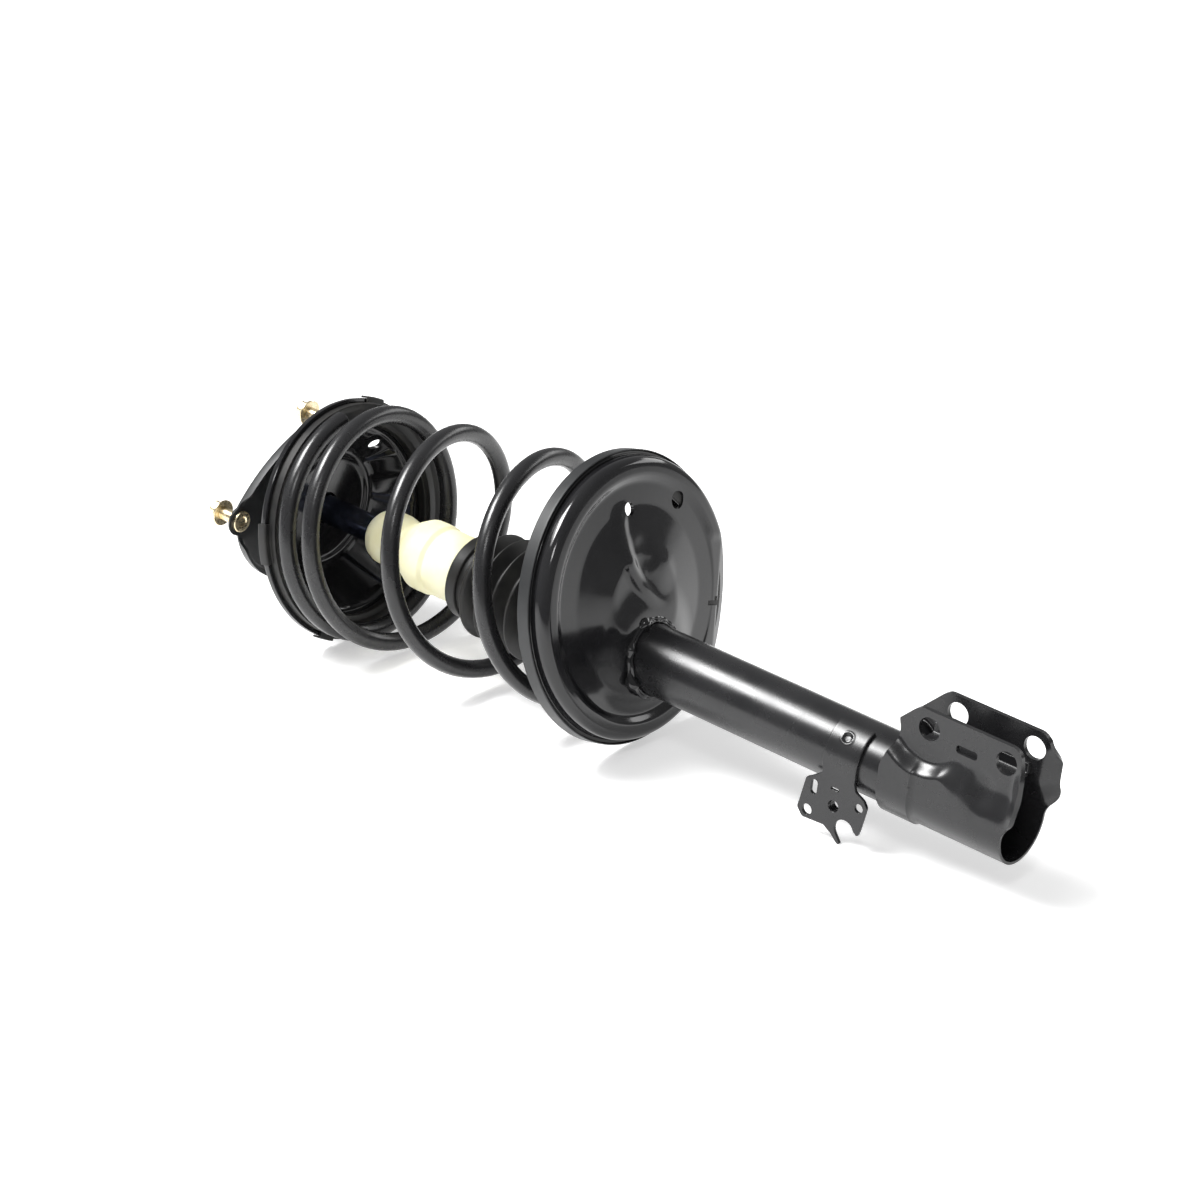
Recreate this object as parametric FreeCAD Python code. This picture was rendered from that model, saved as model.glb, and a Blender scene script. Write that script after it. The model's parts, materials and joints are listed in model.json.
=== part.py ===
import FreeCAD, Part
import math
import os

# Strut assembly of a passenger car: damper, coil spring, spring seats, top mount and brackets.
#
# Every piece is modelled along the damper's own axis, and the whole strut is laid down at the end.
# Axis frame, in millimetres: +X runs from the top mount's mating face towards the steering knuckle,
# +Z is the side where the knuckle ears stand, -Y is the near side with the hose bracket.
# The origin is on the axis, in the plane of the top mount's mating face.
# Angles round the axis are counted from +Z towards -Y.

V = FreeCAD.Vector
X_AXIS = V(1, 0, 0)
Y_AXIS = V(0, 1, 0)
ORIGIN = V(0, 0, 0)

# Clearances
RUNNING = 0.05            # radial, between a shaft and its bore
LOOSE = 0.4               # between pieces that move past each other without bearing
SEAT_GAP = 0.3            # between a soft piece and what carries it
PASS_THROUGH = 2.0        # radial, where a shaft only passes a hole

# Top mount plate
PLATE_T = 3.5
STUD_CIRCLE_R = 63.0
STUD_COUNT = 3
FIRST_STUD_DEG = 94.0
LOBE_R = 12.0
EDGE_REACH = (68.0, 60.0, 52.0)   # mid reach of the edges after the first, second and third lobe
SKIRT_DEPTH = 9.0
SKIRT_T = 2.5
SKIRT_RELIEF_R = 17.0

# Studs and flange nuts
STUD_D = 10.0
STUD_SHANK = 15.0         # bare length at the full diameter
STUD_REACH = 25.0
STUD_CORE_D = 8.4         # under the thread
STUD_PRESS_D = 10.8       # ribbed collar pressed into the plate
STUD_RELIEF = 0.4         # groove between the collar and the shank
STUD_HEAD_D = 17.0
STUD_HEAD_T = 2.5
STUD_HEX = 8.0
NUT_STANDOFF = 15.3
NUT_FLANGE_D = 21.0
NUT_FLANGE_T = 2.2
NUT_H = 10.2
NUT_AF = 14.0
NUT_CHAMFER = 1.2

# Mount cup, rubber and core
CUP_OUTER_R = 37.0
CUP_WALL = 3.0
CUP_DEPTH = 20.0
CUP_MOUTH_R = 27.5
CORE_R = 20.0
CORE_TOP = 3.0
RUBBER_TOP = CORE_TOP + 0.5
ROD_THREAD_D = 12.0
ROD_THREAD_REACH = 13.0
TOP_WASHER_R = 25.0
TOP_WASHER_T = 2.5
ROD_NUT_AF = 19.0
ROD_NUT_H = 10.0

# Thrust bearing under the cup
BEARING_R = 33.0
BALL_D = 5.0
BALL_COUNT = 24
RACE_HALF_W = 5.0
RACE_T = 4.0
RACE_SPACE = 2.0          # between the flat faces of the two races
CAGE_T = 1.2
CAGE_HALF_W = 3.6

# Spring
WIRE_D = 14.0
COIL_R = 86.3
SPRING_TURNS = 4.6
END_PITCH = 5.8
ACTIVE_PITCH = 91.0
OPENS_AFTER_TURNS = 0.29
OPENING_TURNS = 1.61
CLOSES_AFTER_TURNS = 3.45
CLOSING_TURNS = 0.79
SPRING_START_DEG = 9.7
UPPER_COIL_LIFT = 19.5    # wire centre above the upper seat's rim plane
LOWER_COIL_LIFT = -1.5    # wire centre past the lower seat's rim plane
UPPER_TILT_TURNS = 0.3    # the upper end's tilt begins to fade here
LOWER_TILT_TURNS = 3.0    # the lower end's tilt begins to come in here
TILT_FADE_TURNS = 1.2

# Upper spring seat
UPPER_X = 58.7            # centre of the seat's rim plane, along the axis
UPPER_TILT = 12.3         # degrees, rim plane against the axis
UPPER_RIM_R = COIL_R + 8.2
UPPER_LEDGE_IN_R = COIL_R - 15.3
UPPER_SHEET = 3.0
UPPER_LIP = 5.0
UPPER_FLOOR_R = 54.0
UPPER_HUB_R = BEARING_R + RACE_HALF_W + 3.0
UPPER_DISH = 3.0          # how far the floor's ring lies below its hub
UPPER_HOLE_DEG = (-42.0, 78.0, 198.0)
UPPER_HOLE_D = 11.0
UPPER_HOLE_R = 62.5

# Upper spring insulator
UPPER_PAD_IN_R = COIL_R - 11.3
PAD_TAB_DEG = (87.0, 153.0, 218.0, -22.0)
PAD_TAB_W = (32.0, 15.0, 20.0, 18.0)
PAD_TAB_T = 2.0
PAD_TAB_GAP = 0.15        # between a tab and the lip it hooks over
PAD_TAB_REACH = 2.0       # how far a tab reaches up past the rim plane
PAD_TAB_ROOT = 4.0        # how far a tab runs in over the ring

# Lower spring seat
LOWER_X = 339.2
LOWER_Z = 37.8            # offset of the seat's centre from the damper axis
LOWER_TILT = 14.5
LOWER_RIM_R = COIL_R + 21.7
LOWER_SKIRT = 10.0
LOWER_SHEET = 3.0
LOWER_PAD_T = 3.0
LOWER_PAD_IN = 6.0        # how far the pad reaches in and out past the wire's centre line
LOWER_PAD_OUT = 10.2
CHANNEL_MARGIN = 4.0      # from the wire's inner side to the foot of the channel
CHANNEL_STEP = 2.5        # how far the channel's wall stands inside the rim's skirt
CHANNEL_EASE = 5.0        # size of the rounded corner between the channel's floor and wall
LOWER_FACE_H = 11.0
LOWER_HUB_H = 17.0
LOWER_HUB_R = 42.0
LOWER_HOLES = ((2.0, 71.0, 11.0), (-39.0, 81.0, 14.0))   # angle, radius and diameter of each

# Seat collar on the tube
COLLAR_T = 3.0
COLLAR_BELOW = 3.0        # how far the collar stands out of the seat's hub towards the knuckle
COLLAR_ABOVE = 12.0       # how far it reaches past the seat's rim plane towards the mount

# Damper tube
TUBE_OUTER_R = 25.5
TUBE_WALL = 2.2
TUBE_TOP = 244.0
TUBE_END = 655.0
BOTTOM_CAP_T = 4.0
BOTTOM_CAP_DEPTH = 11.0
TUBE_CAP_T = 2.5
TUBE_CAP_SKIRT = 16.0

# Rod and what it carries
ROD_R = 11.0
ROD_END = 342.0           # end of the full diameter, at the piston
PISTON_STUB_D = 12.0
PISTON_R = 15.0
PISTON_H = 20.0
PISTON_BAND_T = 1.0
PISTON_BAND_H = 12.0
VALVE_DISC_R = 11.5
VALVE_DISC_T = 0.5
VALVE_DISC_COUNT = 4
PISTON_NUT_AF = 18.0
PISTON_NUT_H = 9.0
REBOUND_STOP_H = 12.0
REBOUND_STOP_R = 14.0

# Damper insides
GUIDE_H = 22.0
GUIDE_NECK_H = 8.0
SEAL_H = 7.0
SEAL_R = 21.0
BUSH_WALL = 1.0
BUSH_H = 14.0
CYLINDER_WALL = 1.3
BASE_VALVE_H = 14.0

# Bump stop
STOP_TOP = 90.0
STOP_HEAD_L = 28.0
STOP_HEAD_R = 21.5
STOP_NOSE_R = 14.5
STOP_NECK_AT = 38.0       # distances along the stop, from its nose
STOP_NECK_R = 18.5
STOP_STEP = 3.0           # axial size of the rounded corners
STOP_EASE = 1.0           # radial size of the rounded corners
STOP_BODY_FROM = 47.0
STOP_BODY_R = 28.0
STOP_GROOVE_AT = 71.0
STOP_GROOVE_R = 25.0
STOP_TAIL_FROM = 75.0
STOP_TAIL_R = 26.5
STOP_FOOT_FROM = 99.0
STOP_FOOT_R = 24.0
STOP_LENGTH = 109.5

# Dust boot
BOOT_TOP = 190.7
BOOT_WALL = 1.8
BOOT_COLLAR_R = 33.0
BOOT_COLLAR_L = 10.5
BOOT_COLLAR_BORE_R = STOP_TAIL_R + SEAT_GAP
BOOT_NECK_R = 30.5
BOOT_NECK_L = 6.3
BOOT_RIDGE_R = 43.0
BOOT_VALLEY_R = 33.0
BOOT_RIBS = 6
BOOT_RIB_PITCH = 15.0
BOOT_RIDGE_W = 2.4
BOOT_VALLEY_W = 2.0
BOOT_CUFF_R = 29.0
BOOT_CUFF_L = 8.0

# Knuckle bracket
HOLE_X = 619.1            # first bolt hole, along the axis
HOLE_PITCH = 62.6
HOLE_HEIGHT = 51.0        # bolt holes above the damper axis
HOLE_D = 17.0
EAR_GAP = 30.0            # between the inner faces of the two ears
BRACKET_T = 3.6
EAR_TOP = 64.5
EAR_LEFT = 595.0
EAR_RIGHT = 697.0
EAR_LEFT_CUT = 14.0       # cut corners of the ears' top edge
EAR_RIGHT_CUT = 9.0
EAR_FOOT = 29.0           # height at which the flat of an ear starts
EAR_EASE_R = 4.0
WRAP_LEFT = 590.0
WRAP_RIGHT = 691.0
WRAP_STEP_X = 616.0       # from here on the wrap is drawn thinner
WRAP_THIN_T = 2.0
FLARE_L = 8.0             # ends of the ears, turned outwards past the wrap
FLARE_OUT = 5.0
FLARE_TOP = 56.0
SHOULDER_FROM = 8.0       # height at which the sheet leaves the tube's flank
SHOULDER_IN = 4.0         # how far the sheet starts and ends inside the wrap and the ear
SLOT_X = 650.5
SLOT_L = 17.0
SLOT_W = 6.0
SLOT_HEIGHT = 45.8
INNER_T = 3.2
INNER_LEFT = 604.0
INNER_RIGHT = 681.0
INNER_TOP = 40.0
INNER_WEB_RISE = 4.0      # web above the tube's top line

# Hose bracket, its tab's places counted along the axis from the band's left edge and up from the axis
BAND_LEFT = 543.0
BAND_W = 29.0
BAND_T = 2.6
BAND_START_DEG = 22.0
TAB_T = 2.6
TAB_LEFT = ((2.5, -11.0), (-8.2, -16.5), (-11.8, -21.2), (-15.0, -44.0), (-10.2, -49.5), (8.0, -48.8),
            (14.5, -52.5))
TAB_RIGHT = ((37.5, -41.5), (41.6, -20.4), (37.1, -17.4), (30.2, -12.7), (BAND_W, -6.0))
TAB_OVERLAP = 0.5         # how far tab and band run into each other
TAB_HOLES = ((-7.0, -43.0, 8.0), (35.2, -24.6, 6.6))   # each as place and diameter
TAB_SLOT = (-3.4, -23.5)
TAB_SLOT_W = 5.0
TAB_SLOT_L = 11.0
WELD_NUT_AT = (14.3, -31.5)
WELD_NUT_OUTER_R = 6.5
WELD_NUT_BORE_R = 4.0
WELD_NUT_L = 5.0
WELD_NUT_CLEARANCE = 0.3
NOTCH_AT = (25.4, -46.2)
NOTCH_R = 8.0
NOTCH_FROM_DEG = 200.0
NOTCH_TO_DEG = 20.0
HOOK_TIP = (22.0, -58.5)
HOOK_W = 3.0              # width of the hook's rounded tip


def polar(radius, degrees, x=0.0):
    """Point at an angle counted from +Z towards -Y."""
    angle = math.radians(degrees)
    return V(x, -radius * math.sin(angle), radius * math.cos(angle))


def cylinder(x0, x1, radius):
    return Part.makeCylinder(radius, x1 - x0, V(x0, 0, 0), X_AXIS)


def sleeve(x0, x1, inner_r, outer_r):
    return cylinder(x0, x1, outer_r).cut(cylinder(x0 - 1, x1 + 1, inner_r))


def polygon(points):
    return Part.makePolygon(list(points) + [points[0]])


def revolved(outline):
    """Solid of revolution about the axis from (x, radius) points."""
    face = Part.Face(polygon([V(x, 0, r) for x, r in outline]))
    return face.revolve(ORIGIN, X_AXIS, 360)


def hexagon(x0, x1, across_flats, phase=0.0):
    corner = across_flats / math.sqrt(3)
    points = [polar(corner, 60 * i + phase, x0) for i in range(6)]
    return Part.Face(polygon(points)).extrude(V(x1 - x0, 0, 0))


def round_hex(x0, x1, across_flats, chamfer):
    """Hexagon with its corners turned down at both ends."""
    corner = across_flats / math.sqrt(3)
    outline = [(x0, 0), (x0, corner - chamfer), (x0 + chamfer * 0.58, corner + 0.01),
               (x1 - chamfer * 0.58, corner + 0.01), (x1, corner - chamfer), (x1, 0)]
    return hexagon(x0, x1, across_flats).common(revolved(outline))


def tilted(shape, centre, tilt):
    """Turn a shape built on the axis so that +X leans towards +Z by tilt degrees, then move it."""
    result = shape.copy()
    result.rotate(ORIGIN, Y_AXIS, -tilt)
    result.translate(centre)
    return result


def tilt_normal(tilt):
    angle = math.radians(tilt)
    return V(math.cos(angle), 0, math.sin(angle))


def tilt_up(tilt):
    angle = math.radians(tilt)
    return V(-math.sin(angle), 0, math.cos(angle))


def joined(shapes):
    result = shapes[0]
    for shape in shapes[1:]:
        result = result.fuse(shape)
    return result.removeSplitter()


def group(shapes):
    return Part.makeCompound(shapes)


def circle_wire(centre, normal, radius):
    return Part.Wire(Part.makeCircle(radius, centre, normal))


def stepped_loft(circles):
    """Ruled loft through circles given as (centre, normal, radius)."""
    return Part.makeLoft([circle_wire(*circle) for circle in circles], True, True)


UPPER_CENTRE = V(UPPER_X, 0, 0)
LOWER_CENTRE = V(LOWER_X, 0, LOWER_Z)
STUD_ANGLES = [FIRST_STUD_DEG + i * 360 / STUD_COUNT for i in range(STUD_COUNT)]


# Top mount

def lobe_ends(angle):
    """Where the round of a lobe starts and ends, each side of its stud."""
    centre = polar(STUD_CIRCLE_R, angle)
    return centre + polar(LOBE_R, angle - 75), centre + polar(LOBE_R, angle + 75)


def plate_outline():
    edges = []
    for i, angle in enumerate(STUD_ANGLES):
        following = STUD_ANGLES[(i + 1) % STUD_COUNT]
        start, end = lobe_ends(angle)
        edges.append(Part.Arc(start, polar(STUD_CIRCLE_R + LOBE_R, angle), end).toShape())
        middle = polar(EDGE_REACH[i], angle + 180 / STUD_COUNT)
        edges.append(Part.Arc(end, middle, lobe_ends(following)[0]).toShape())
    return Part.Wire(Part.__sortEdges__(edges))


def mount_plate():
    outline = plate_outline()
    body = Part.Face(outline).extrude(V(SKIRT_DEPTH, 0, 0))
    inside = outline.makeOffset2D(-SKIRT_T)
    hollow = Part.Face(inside).extrude(V(SKIRT_DEPTH, 0, 0))
    hollow.translate(V(PLATE_T, 0, 0))
    body = body.cut(hollow)
    for angle in STUD_ANGLES:
        place = polar(STUD_CIRCLE_R + 4, angle, PLATE_T)
        body = body.cut(Part.makeCylinder(SKIRT_RELIEF_R, SKIRT_DEPTH, place, X_AXIS))
        place = polar(STUD_CIRCLE_R, angle, -1)
        body = body.cut(Part.makeCylinder(STUD_PRESS_D / 2, PLATE_T + 2, place, X_AXIS))
    cup = sleeve(0, CUP_DEPTH, CUP_OUTER_R - CUP_WALL, CUP_OUTER_R)
    floor = sleeve(CUP_DEPTH - CUP_WALL, CUP_DEPTH, CUP_MOUTH_R, CUP_OUTER_R)
    body = body.cut(cylinder(-1, PLATE_T + 1, CUP_OUTER_R - CUP_WALL))
    return joined([body, cup, floor])


def stud(angle):
    core = cylinder(-STUD_REACH, 0, STUD_CORE_D / 2)
    shank = cylinder(-STUD_SHANK, -STUD_RELIEF, STUD_D / 2)
    collar = cylinder(0, PLATE_T, STUD_PRESS_D / 2)
    head = cylinder(PLATE_T, PLATE_T + STUD_HEAD_T, STUD_HEAD_D / 2)
    socket = hexagon(PLATE_T + STUD_HEAD_T / 2, PLATE_T + STUD_HEAD_T + 1, STUD_HEX)
    whole = joined([core, shank, collar, head]).cut(socket)
    whole.translate(polar(STUD_CIRCLE_R, angle))
    return whole


def flange_nut(angle):
    outer = -NUT_STANDOFF - NUT_H
    body = round_hex(outer, -NUT_STANDOFF - NUT_FLANGE_T / 2, NUT_AF, NUT_CHAMFER)
    flange = revolved([(-NUT_STANDOFF, 0), (-NUT_STANDOFF, NUT_FLANGE_D / 2),
                       (-NUT_STANDOFF - NUT_FLANGE_T, NUT_FLANGE_D / 2 - 0.8),
                       (-NUT_STANDOFF - 2 * NUT_FLANGE_T, NUT_AF / 2),
                       (-NUT_STANDOFF - 2 * NUT_FLANGE_T, 0)])
    nut = body.fuse(flange).removeSplitter()
    nut = nut.cut(cylinder(outer - 1, 1 - NUT_STANDOFF, STUD_CORE_D / 2))
    nut.translate(polar(STUD_CIRCLE_R, angle))
    return nut


def mount_rubber():
    return sleeve(RUBBER_TOP, CUP_DEPTH - CUP_WALL, CORE_R, CUP_OUTER_R - CUP_WALL)


def mount_core():
    return sleeve(CORE_TOP, CUP_DEPTH, ROD_THREAD_D / 2, CORE_R)


def top_washer():
    return sleeve(CORE_TOP - TOP_WASHER_T, CORE_TOP, ROD_THREAD_D / 2, TOP_WASHER_R)


def rod_nut():
    low = CORE_TOP - TOP_WASHER_T
    nut = round_hex(low - ROD_NUT_H, low, ROD_NUT_AF, NUT_CHAMFER)
    return nut.cut(cylinder(low - ROD_NUT_H - 1, low + 1, ROD_THREAD_D / 2))


# Thrust bearing

BALL_X = CUP_DEPTH + RACE_T + RACE_SPACE / 2
LOWER_RACE_X = CUP_DEPTH + RACE_T + RACE_SPACE
SEAT_HUB_X = LOWER_RACE_X + RACE_T


def race(x0, x1):
    ring = sleeve(x0, x1, BEARING_R - RACE_HALF_W, BEARING_R + RACE_HALF_W)
    groove = Part.makeTorus(BEARING_R, BALL_D / 2 + RUNNING, V(BALL_X, 0, 0), X_AXIS)
    return ring.cut(groove)


def bearing_outer_race():
    return race(CUP_DEPTH, CUP_DEPTH + RACE_T)


def bearing_inner_race():
    return race(LOWER_RACE_X, SEAT_HUB_X)


def ball_places():
    return [polar(BEARING_R, i * 360 / BALL_COUNT, BALL_X) for i in range(BALL_COUNT)]


def bearing_balls():
    return group([Part.makeSphere(BALL_D / 2, place) for place in ball_places()])


def bearing_cage():
    cage = sleeve(BALL_X - CAGE_T / 2, BALL_X + CAGE_T / 2,
                  BEARING_R - CAGE_HALF_W, BEARING_R + CAGE_HALF_W)
    for place in ball_places():
        pocket = Part.makeCylinder(BALL_D / 2 + RUNNING, CAGE_T + 2, place - V(CAGE_T / 2 + 1, 0, 0), X_AXIS)
        cage = cage.cut(pocket)
    return cage


# Upper spring seat and insulator

def upper_wall(grow):
    """Steep wall from the tilted ledge down to the floor, its radii grown by the given amount."""
    normal = tilt_normal(UPPER_TILT)
    rim = (UPPER_CENTRE, normal, UPPER_LEDGE_IN_R + grow)
    ring = (V(SEAT_HUB_X + UPPER_DISH, 0, 0), X_AXIS, UPPER_FLOOR_R + grow)
    hub = (V(SEAT_HUB_X, 0, 0), X_AXIS, UPPER_HUB_R + grow)
    return rim, ring, hub


def upper_spring_seat():
    normal = tilt_normal(UPPER_TILT)
    ledge = sleeve(0, UPPER_SHEET, UPPER_LEDGE_IN_R, UPPER_RIM_R)
    lip = sleeve(0, UPPER_LIP, UPPER_RIM_R - UPPER_SHEET, UPPER_RIM_R)
    ledge = tilted(ledge.fuse(lip).removeSplitter(), UPPER_CENTRE, UPPER_TILT)
    rim, ring, hub = upper_wall(0)
    up = normal * UPPER_SHEET
    deeper = V(UPPER_SHEET, 0, 0)
    outside = stepped_loft([(rim[0] + up, normal, rim[2]), rim, ring, hub])
    inside = stepped_loft([(rim[0] + up * 1.3, normal, rim[2] - UPPER_SHEET * 0.6),
                           (rim[0] + up * 0.5, normal, rim[2] - UPPER_SHEET),
                           (ring[0] + deeper, X_AXIS, ring[2] - UPPER_SHEET),
                           (hub[0] + deeper, X_AXIS, hub[2])])
    pan = outside.cut(inside)
    pan = joined([pan, ledge])
    pan = pan.cut(cylinder(0, UPPER_X, ROD_R + PASS_THROUGH))
    for angle in UPPER_HOLE_DEG:
        place = polar(UPPER_HOLE_R, angle, SEAT_HUB_X - UPPER_SHEET)
        pan = pan.cut(Part.makeCylinder(UPPER_HOLE_D / 2, UPPER_X, place, X_AXIS))
    return pan


def upper_spring_insulator():
    """Rubber ring under the top coil, with a channel for the wire and tabs over the seat's lip."""
    low = UPPER_SHEET
    high = UPPER_COIL_LIFT - WIRE_D / 2 - SEAT_GAP
    outer = UPPER_RIM_R - UPPER_SHEET - SEAT_GAP
    pad = sleeve(low, high, UPPER_PAD_IN_R, outer)
    lip_x = UPPER_LIP + PAD_TAB_GAP
    lip_r = UPPER_RIM_R + PAD_TAB_GAP
    tab_ring = cylinder(-PAD_TAB_REACH, lip_x + PAD_TAB_T, lip_r + PAD_TAB_T)
    tab_ring = tab_ring.cut(cylinder(-PAD_TAB_REACH - 1, lip_x, lip_r))
    tab_ring = tab_ring.cut(cylinder(-PAD_TAB_REACH - 1, lip_x + PAD_TAB_T + 1, outer - PAD_TAB_ROOT))
    for angle, width in zip(PAD_TAB_DEG, PAD_TAB_W):
        strip = Part.makeBox(6 * UPPER_LIP, width, 2 * UPPER_RIM_R, V(-3 * UPPER_LIP, -width / 2, 0))
        tab = tab_ring.common(strip)
        tab.rotate(ORIGIN, X_AXIS, angle)
        pad = pad.fuse(tab)
    return tilted(pad.removeSplitter(), UPPER_CENTRE, UPPER_TILT)


# Coil spring

def smooth(x):
    x = min(max(x, 0.0), 1.0)
    return x * x * (3 - 2 * x)


def smooth_sum(x):
    """Integral of smooth."""
    y = min(max(x, 0.0), 1.0)
    return y ** 3 - y ** 4 / 2 + max(x - 1, 0.0)


def coil_advance(turn):
    opened = OPENING_TURNS * smooth_sum((turn - OPENS_AFTER_TURNS) / OPENING_TURNS)
    closed = CLOSING_TURNS * smooth_sum((turn - CLOSES_AFTER_TURNS) / CLOSING_TURNS)
    return END_PITCH * turn + (ACTIVE_PITCH - END_PITCH) * (opened - closed)


UPPER_COIL_CENTRE = UPPER_CENTRE + tilt_normal(UPPER_TILT) * UPPER_COIL_LIFT
LOWER_COIL_CENTRE = LOWER_CENTRE + tilt_normal(LOWER_TILT) * LOWER_COIL_LIFT
COIL_LINE = LOWER_COIL_CENTRE - UPPER_COIL_CENTRE
COIL_LEAN = math.degrees(math.atan2(COIL_LINE.z, COIL_LINE.x))


def coil_point(turn):
    centre = UPPER_COIL_CENTRE + COIL_LINE * (coil_advance(turn) / coil_advance(SPRING_TURNS))
    tilt = UPPER_TILT + (COIL_LEAN - UPPER_TILT) * smooth((turn - UPPER_TILT_TURNS) / TILT_FADE_TURNS)
    tilt += (LOWER_TILT - COIL_LEAN) * smooth((turn - LOWER_TILT_TURNS) / TILT_FADE_TURNS)
    angle = math.radians(SPRING_START_DEG) + 2 * math.pi * turn
    return centre + tilt_up(tilt) * (COIL_R * math.cos(angle)) - Y_AXIS * (COIL_R * math.sin(angle))


def coil_direction(turn):
    step = 1e-4
    return (coil_point(turn + step) - coil_point(turn - step)).normalize()


def arc_from(start, heading, end):
    """Arc that leaves start along heading and reaches end."""
    chord = end - start
    along = V(chord).normalize()
    side = heading - along * heading.dot(along)
    bend = math.acos(max(-1.0, min(1.0, heading.dot(along))))
    middle = (start + end) * 0.5 + V(side).normalize() * (chord.Length / 2 * math.tan(bend / 2))
    return Part.Arc(start, middle, end).toShape()


def biarc(p0, t0, p1, t1):
    """Two arcs that join smoothly from p0 along t0 to p1 along t1."""
    span = p1 - p0
    total = t0 + t1
    spread = 2 * (1 - t0.dot(t1))
    reach = (-span.dot(total) + math.sqrt(span.dot(total) ** 2 + spread * span.dot(span))) / spread
    joint = (p0 + t0 * reach + p1 - t1 * reach) * 0.5
    heading = (joint - p0 - t0 * reach).normalize()
    return [arc_from(p0, t0, joint), arc_from(joint, heading, p1)]


def coil_spring():
    quarters = 4
    count = math.ceil(SPRING_TURNS * quarters)
    turns = [SPRING_TURNS * i / count for i in range(count + 1)]
    edges = []
    for a, b in zip(turns, turns[1:]):
        edges += biarc(coil_point(a), coil_direction(a), coil_point(b), coil_direction(b))
    path = Part.Wire(edges)
    shell = Part.BRepOffsetAPI.MakePipeShell(path)
    shell.add(circle_wire(coil_point(0), coil_direction(0), WIRE_D / 2))
    shell.build()
    shell.makeSolid()
    print("spring wire: least gap between turns %.2f mm" % (coil_gap() - WIRE_D))
    return shell.shape()


def coil_gap():
    """Least distance between the wire's centre line and itself, a good half turn or more apart."""
    steps = 60
    last = int(SPRING_TURNS * steps)
    points = [coil_point(i / steps) for i in range(last + 1)]
    apart = steps // 2
    return min((points[j] - points[i]).Length
               for i in range(last + 1) for j in range(i + apart, last + 1))


# Lower spring seat

CHANNEL_OUT_R = LOWER_RIM_R - CHANNEL_STEP
CHANNEL_FLOOR_H = LOWER_COIL_LIFT + WIRE_D / 2 + LOWER_PAD_T + SEAT_GAP
CHANNEL_IN_R = COIL_R - WIRE_D / 2 - CHANNEL_MARGIN


def lower_profile(sheet):
    """Outer face of the pan as (height, radius) from its centre to the skirt, set in by sheet."""
    peak = CHANNEL_FLOOR_H + LOWER_SHEET - sheet
    wall = CHANNEL_OUT_R - sheet
    return [(LOWER_HUB_H - sheet, 0),
            (LOWER_HUB_H - sheet, LOWER_HUB_R),
            (LOWER_FACE_H - sheet, CHANNEL_IN_R - CHANNEL_MARGIN),
            (peak - CHANNEL_EASE / 4, CHANNEL_IN_R),
            (peak, CHANNEL_IN_R + CHANNEL_MARGIN),
            (peak, wall - 1.2 * CHANNEL_EASE),
            (peak - 0.3 * CHANNEL_EASE, wall - CHANNEL_EASE / 2),
            (peak - CHANNEL_EASE, wall)]


def lower_spring_seat():
    bend = 0.25 * LOWER_SHEET
    inner_r = LOWER_RIM_R - LOWER_SHEET
    outer = lower_profile(0)
    outer += [(bend, CHANNEL_OUT_R), (0, LOWER_RIM_R), (-LOWER_SKIRT, LOWER_RIM_R), (-LOWER_SKIRT, 0)]
    inner = lower_profile(LOWER_SHEET)
    inner += [(-bend, CHANNEL_OUT_R - LOWER_SHEET), (-LOWER_SHEET, inner_r),
              (-LOWER_SKIRT - 1, inner_r), (-LOWER_SKIRT - 1, 0)]
    pan = revolved(outer).cut(revolved(inner))
    for angle, radius, width in LOWER_HOLES:
        pan = pan.cut(Part.makeCylinder(width / 2, 2 * LOWER_HUB_H, polar(radius, angle), X_AXIS))
    pan = tilted(pan, LOWER_CENTRE, LOWER_TILT)
    return pan.cut(cylinder(LOWER_X - LOWER_RIM_R, LOWER_X + LOWER_RIM_R, TUBE_OUTER_R + COLLAR_T))


def lower_spring_insulator():
    low = CHANNEL_FLOOR_H - LOWER_PAD_T
    pad = sleeve(low, CHANNEL_FLOOR_H, COIL_R - LOWER_PAD_IN, COIL_R + LOWER_PAD_OUT)
    return tilted(pad, LOWER_CENTRE, LOWER_TILT)


def seat_collar():
    """Sleeve welded into the seat, its ends cut parallel to the seat's face."""
    collar = sleeve(LOWER_X - LOWER_RIM_R, LOWER_X + LOWER_RIM_R, TUBE_OUTER_R, TUBE_OUTER_R + COLLAR_T)
    normal = tilt_normal(LOWER_TILT)
    height = COLLAR_ABOVE + LOWER_HUB_H + COLLAR_BELOW
    return collar.common(Part.makeCylinder(LOWER_RIM_R, height, LOWER_CENTRE - normal * COLLAR_ABOVE, normal))


# Damper

GUIDE_TOP = TUBE_TOP + TUBE_WALL
GUIDE_END = GUIDE_TOP + SEAL_H + GUIDE_H
CYLINDER_TOP = GUIDE_END - GUIDE_NECK_H
CYLINDER_END = TUBE_END - BOTTOM_CAP_T - 4.0
TUBE_INNER_R = TUBE_OUTER_R - TUBE_WALL
CYLINDER_INNER_R = PISTON_R + PISTON_BAND_T + RUNNING
CYLINDER_OUTER_R = CYLINDER_INNER_R + CYLINDER_WALL


def strut_tube():
    """Reservoir tube, rolled in over the seal at its top."""
    body = sleeve(TUBE_TOP, TUBE_END, TUBE_INNER_R, TUBE_OUTER_R)
    roll = sleeve(TUBE_TOP, TUBE_TOP + TUBE_WALL, SEAL_R - 4, TUBE_OUTER_R)
    tube = joined([body, roll])
    rim = [e for e in tube.Edges if len(e.Vertexes) == 1 and abs(e.Vertexes[0].X - TUBE_TOP) < 0.01
           and e.BoundBox.ZMax > TUBE_OUTER_R - 0.1]
    return tube.makeFillet(TUBE_WALL * 0.7, rim)


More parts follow.
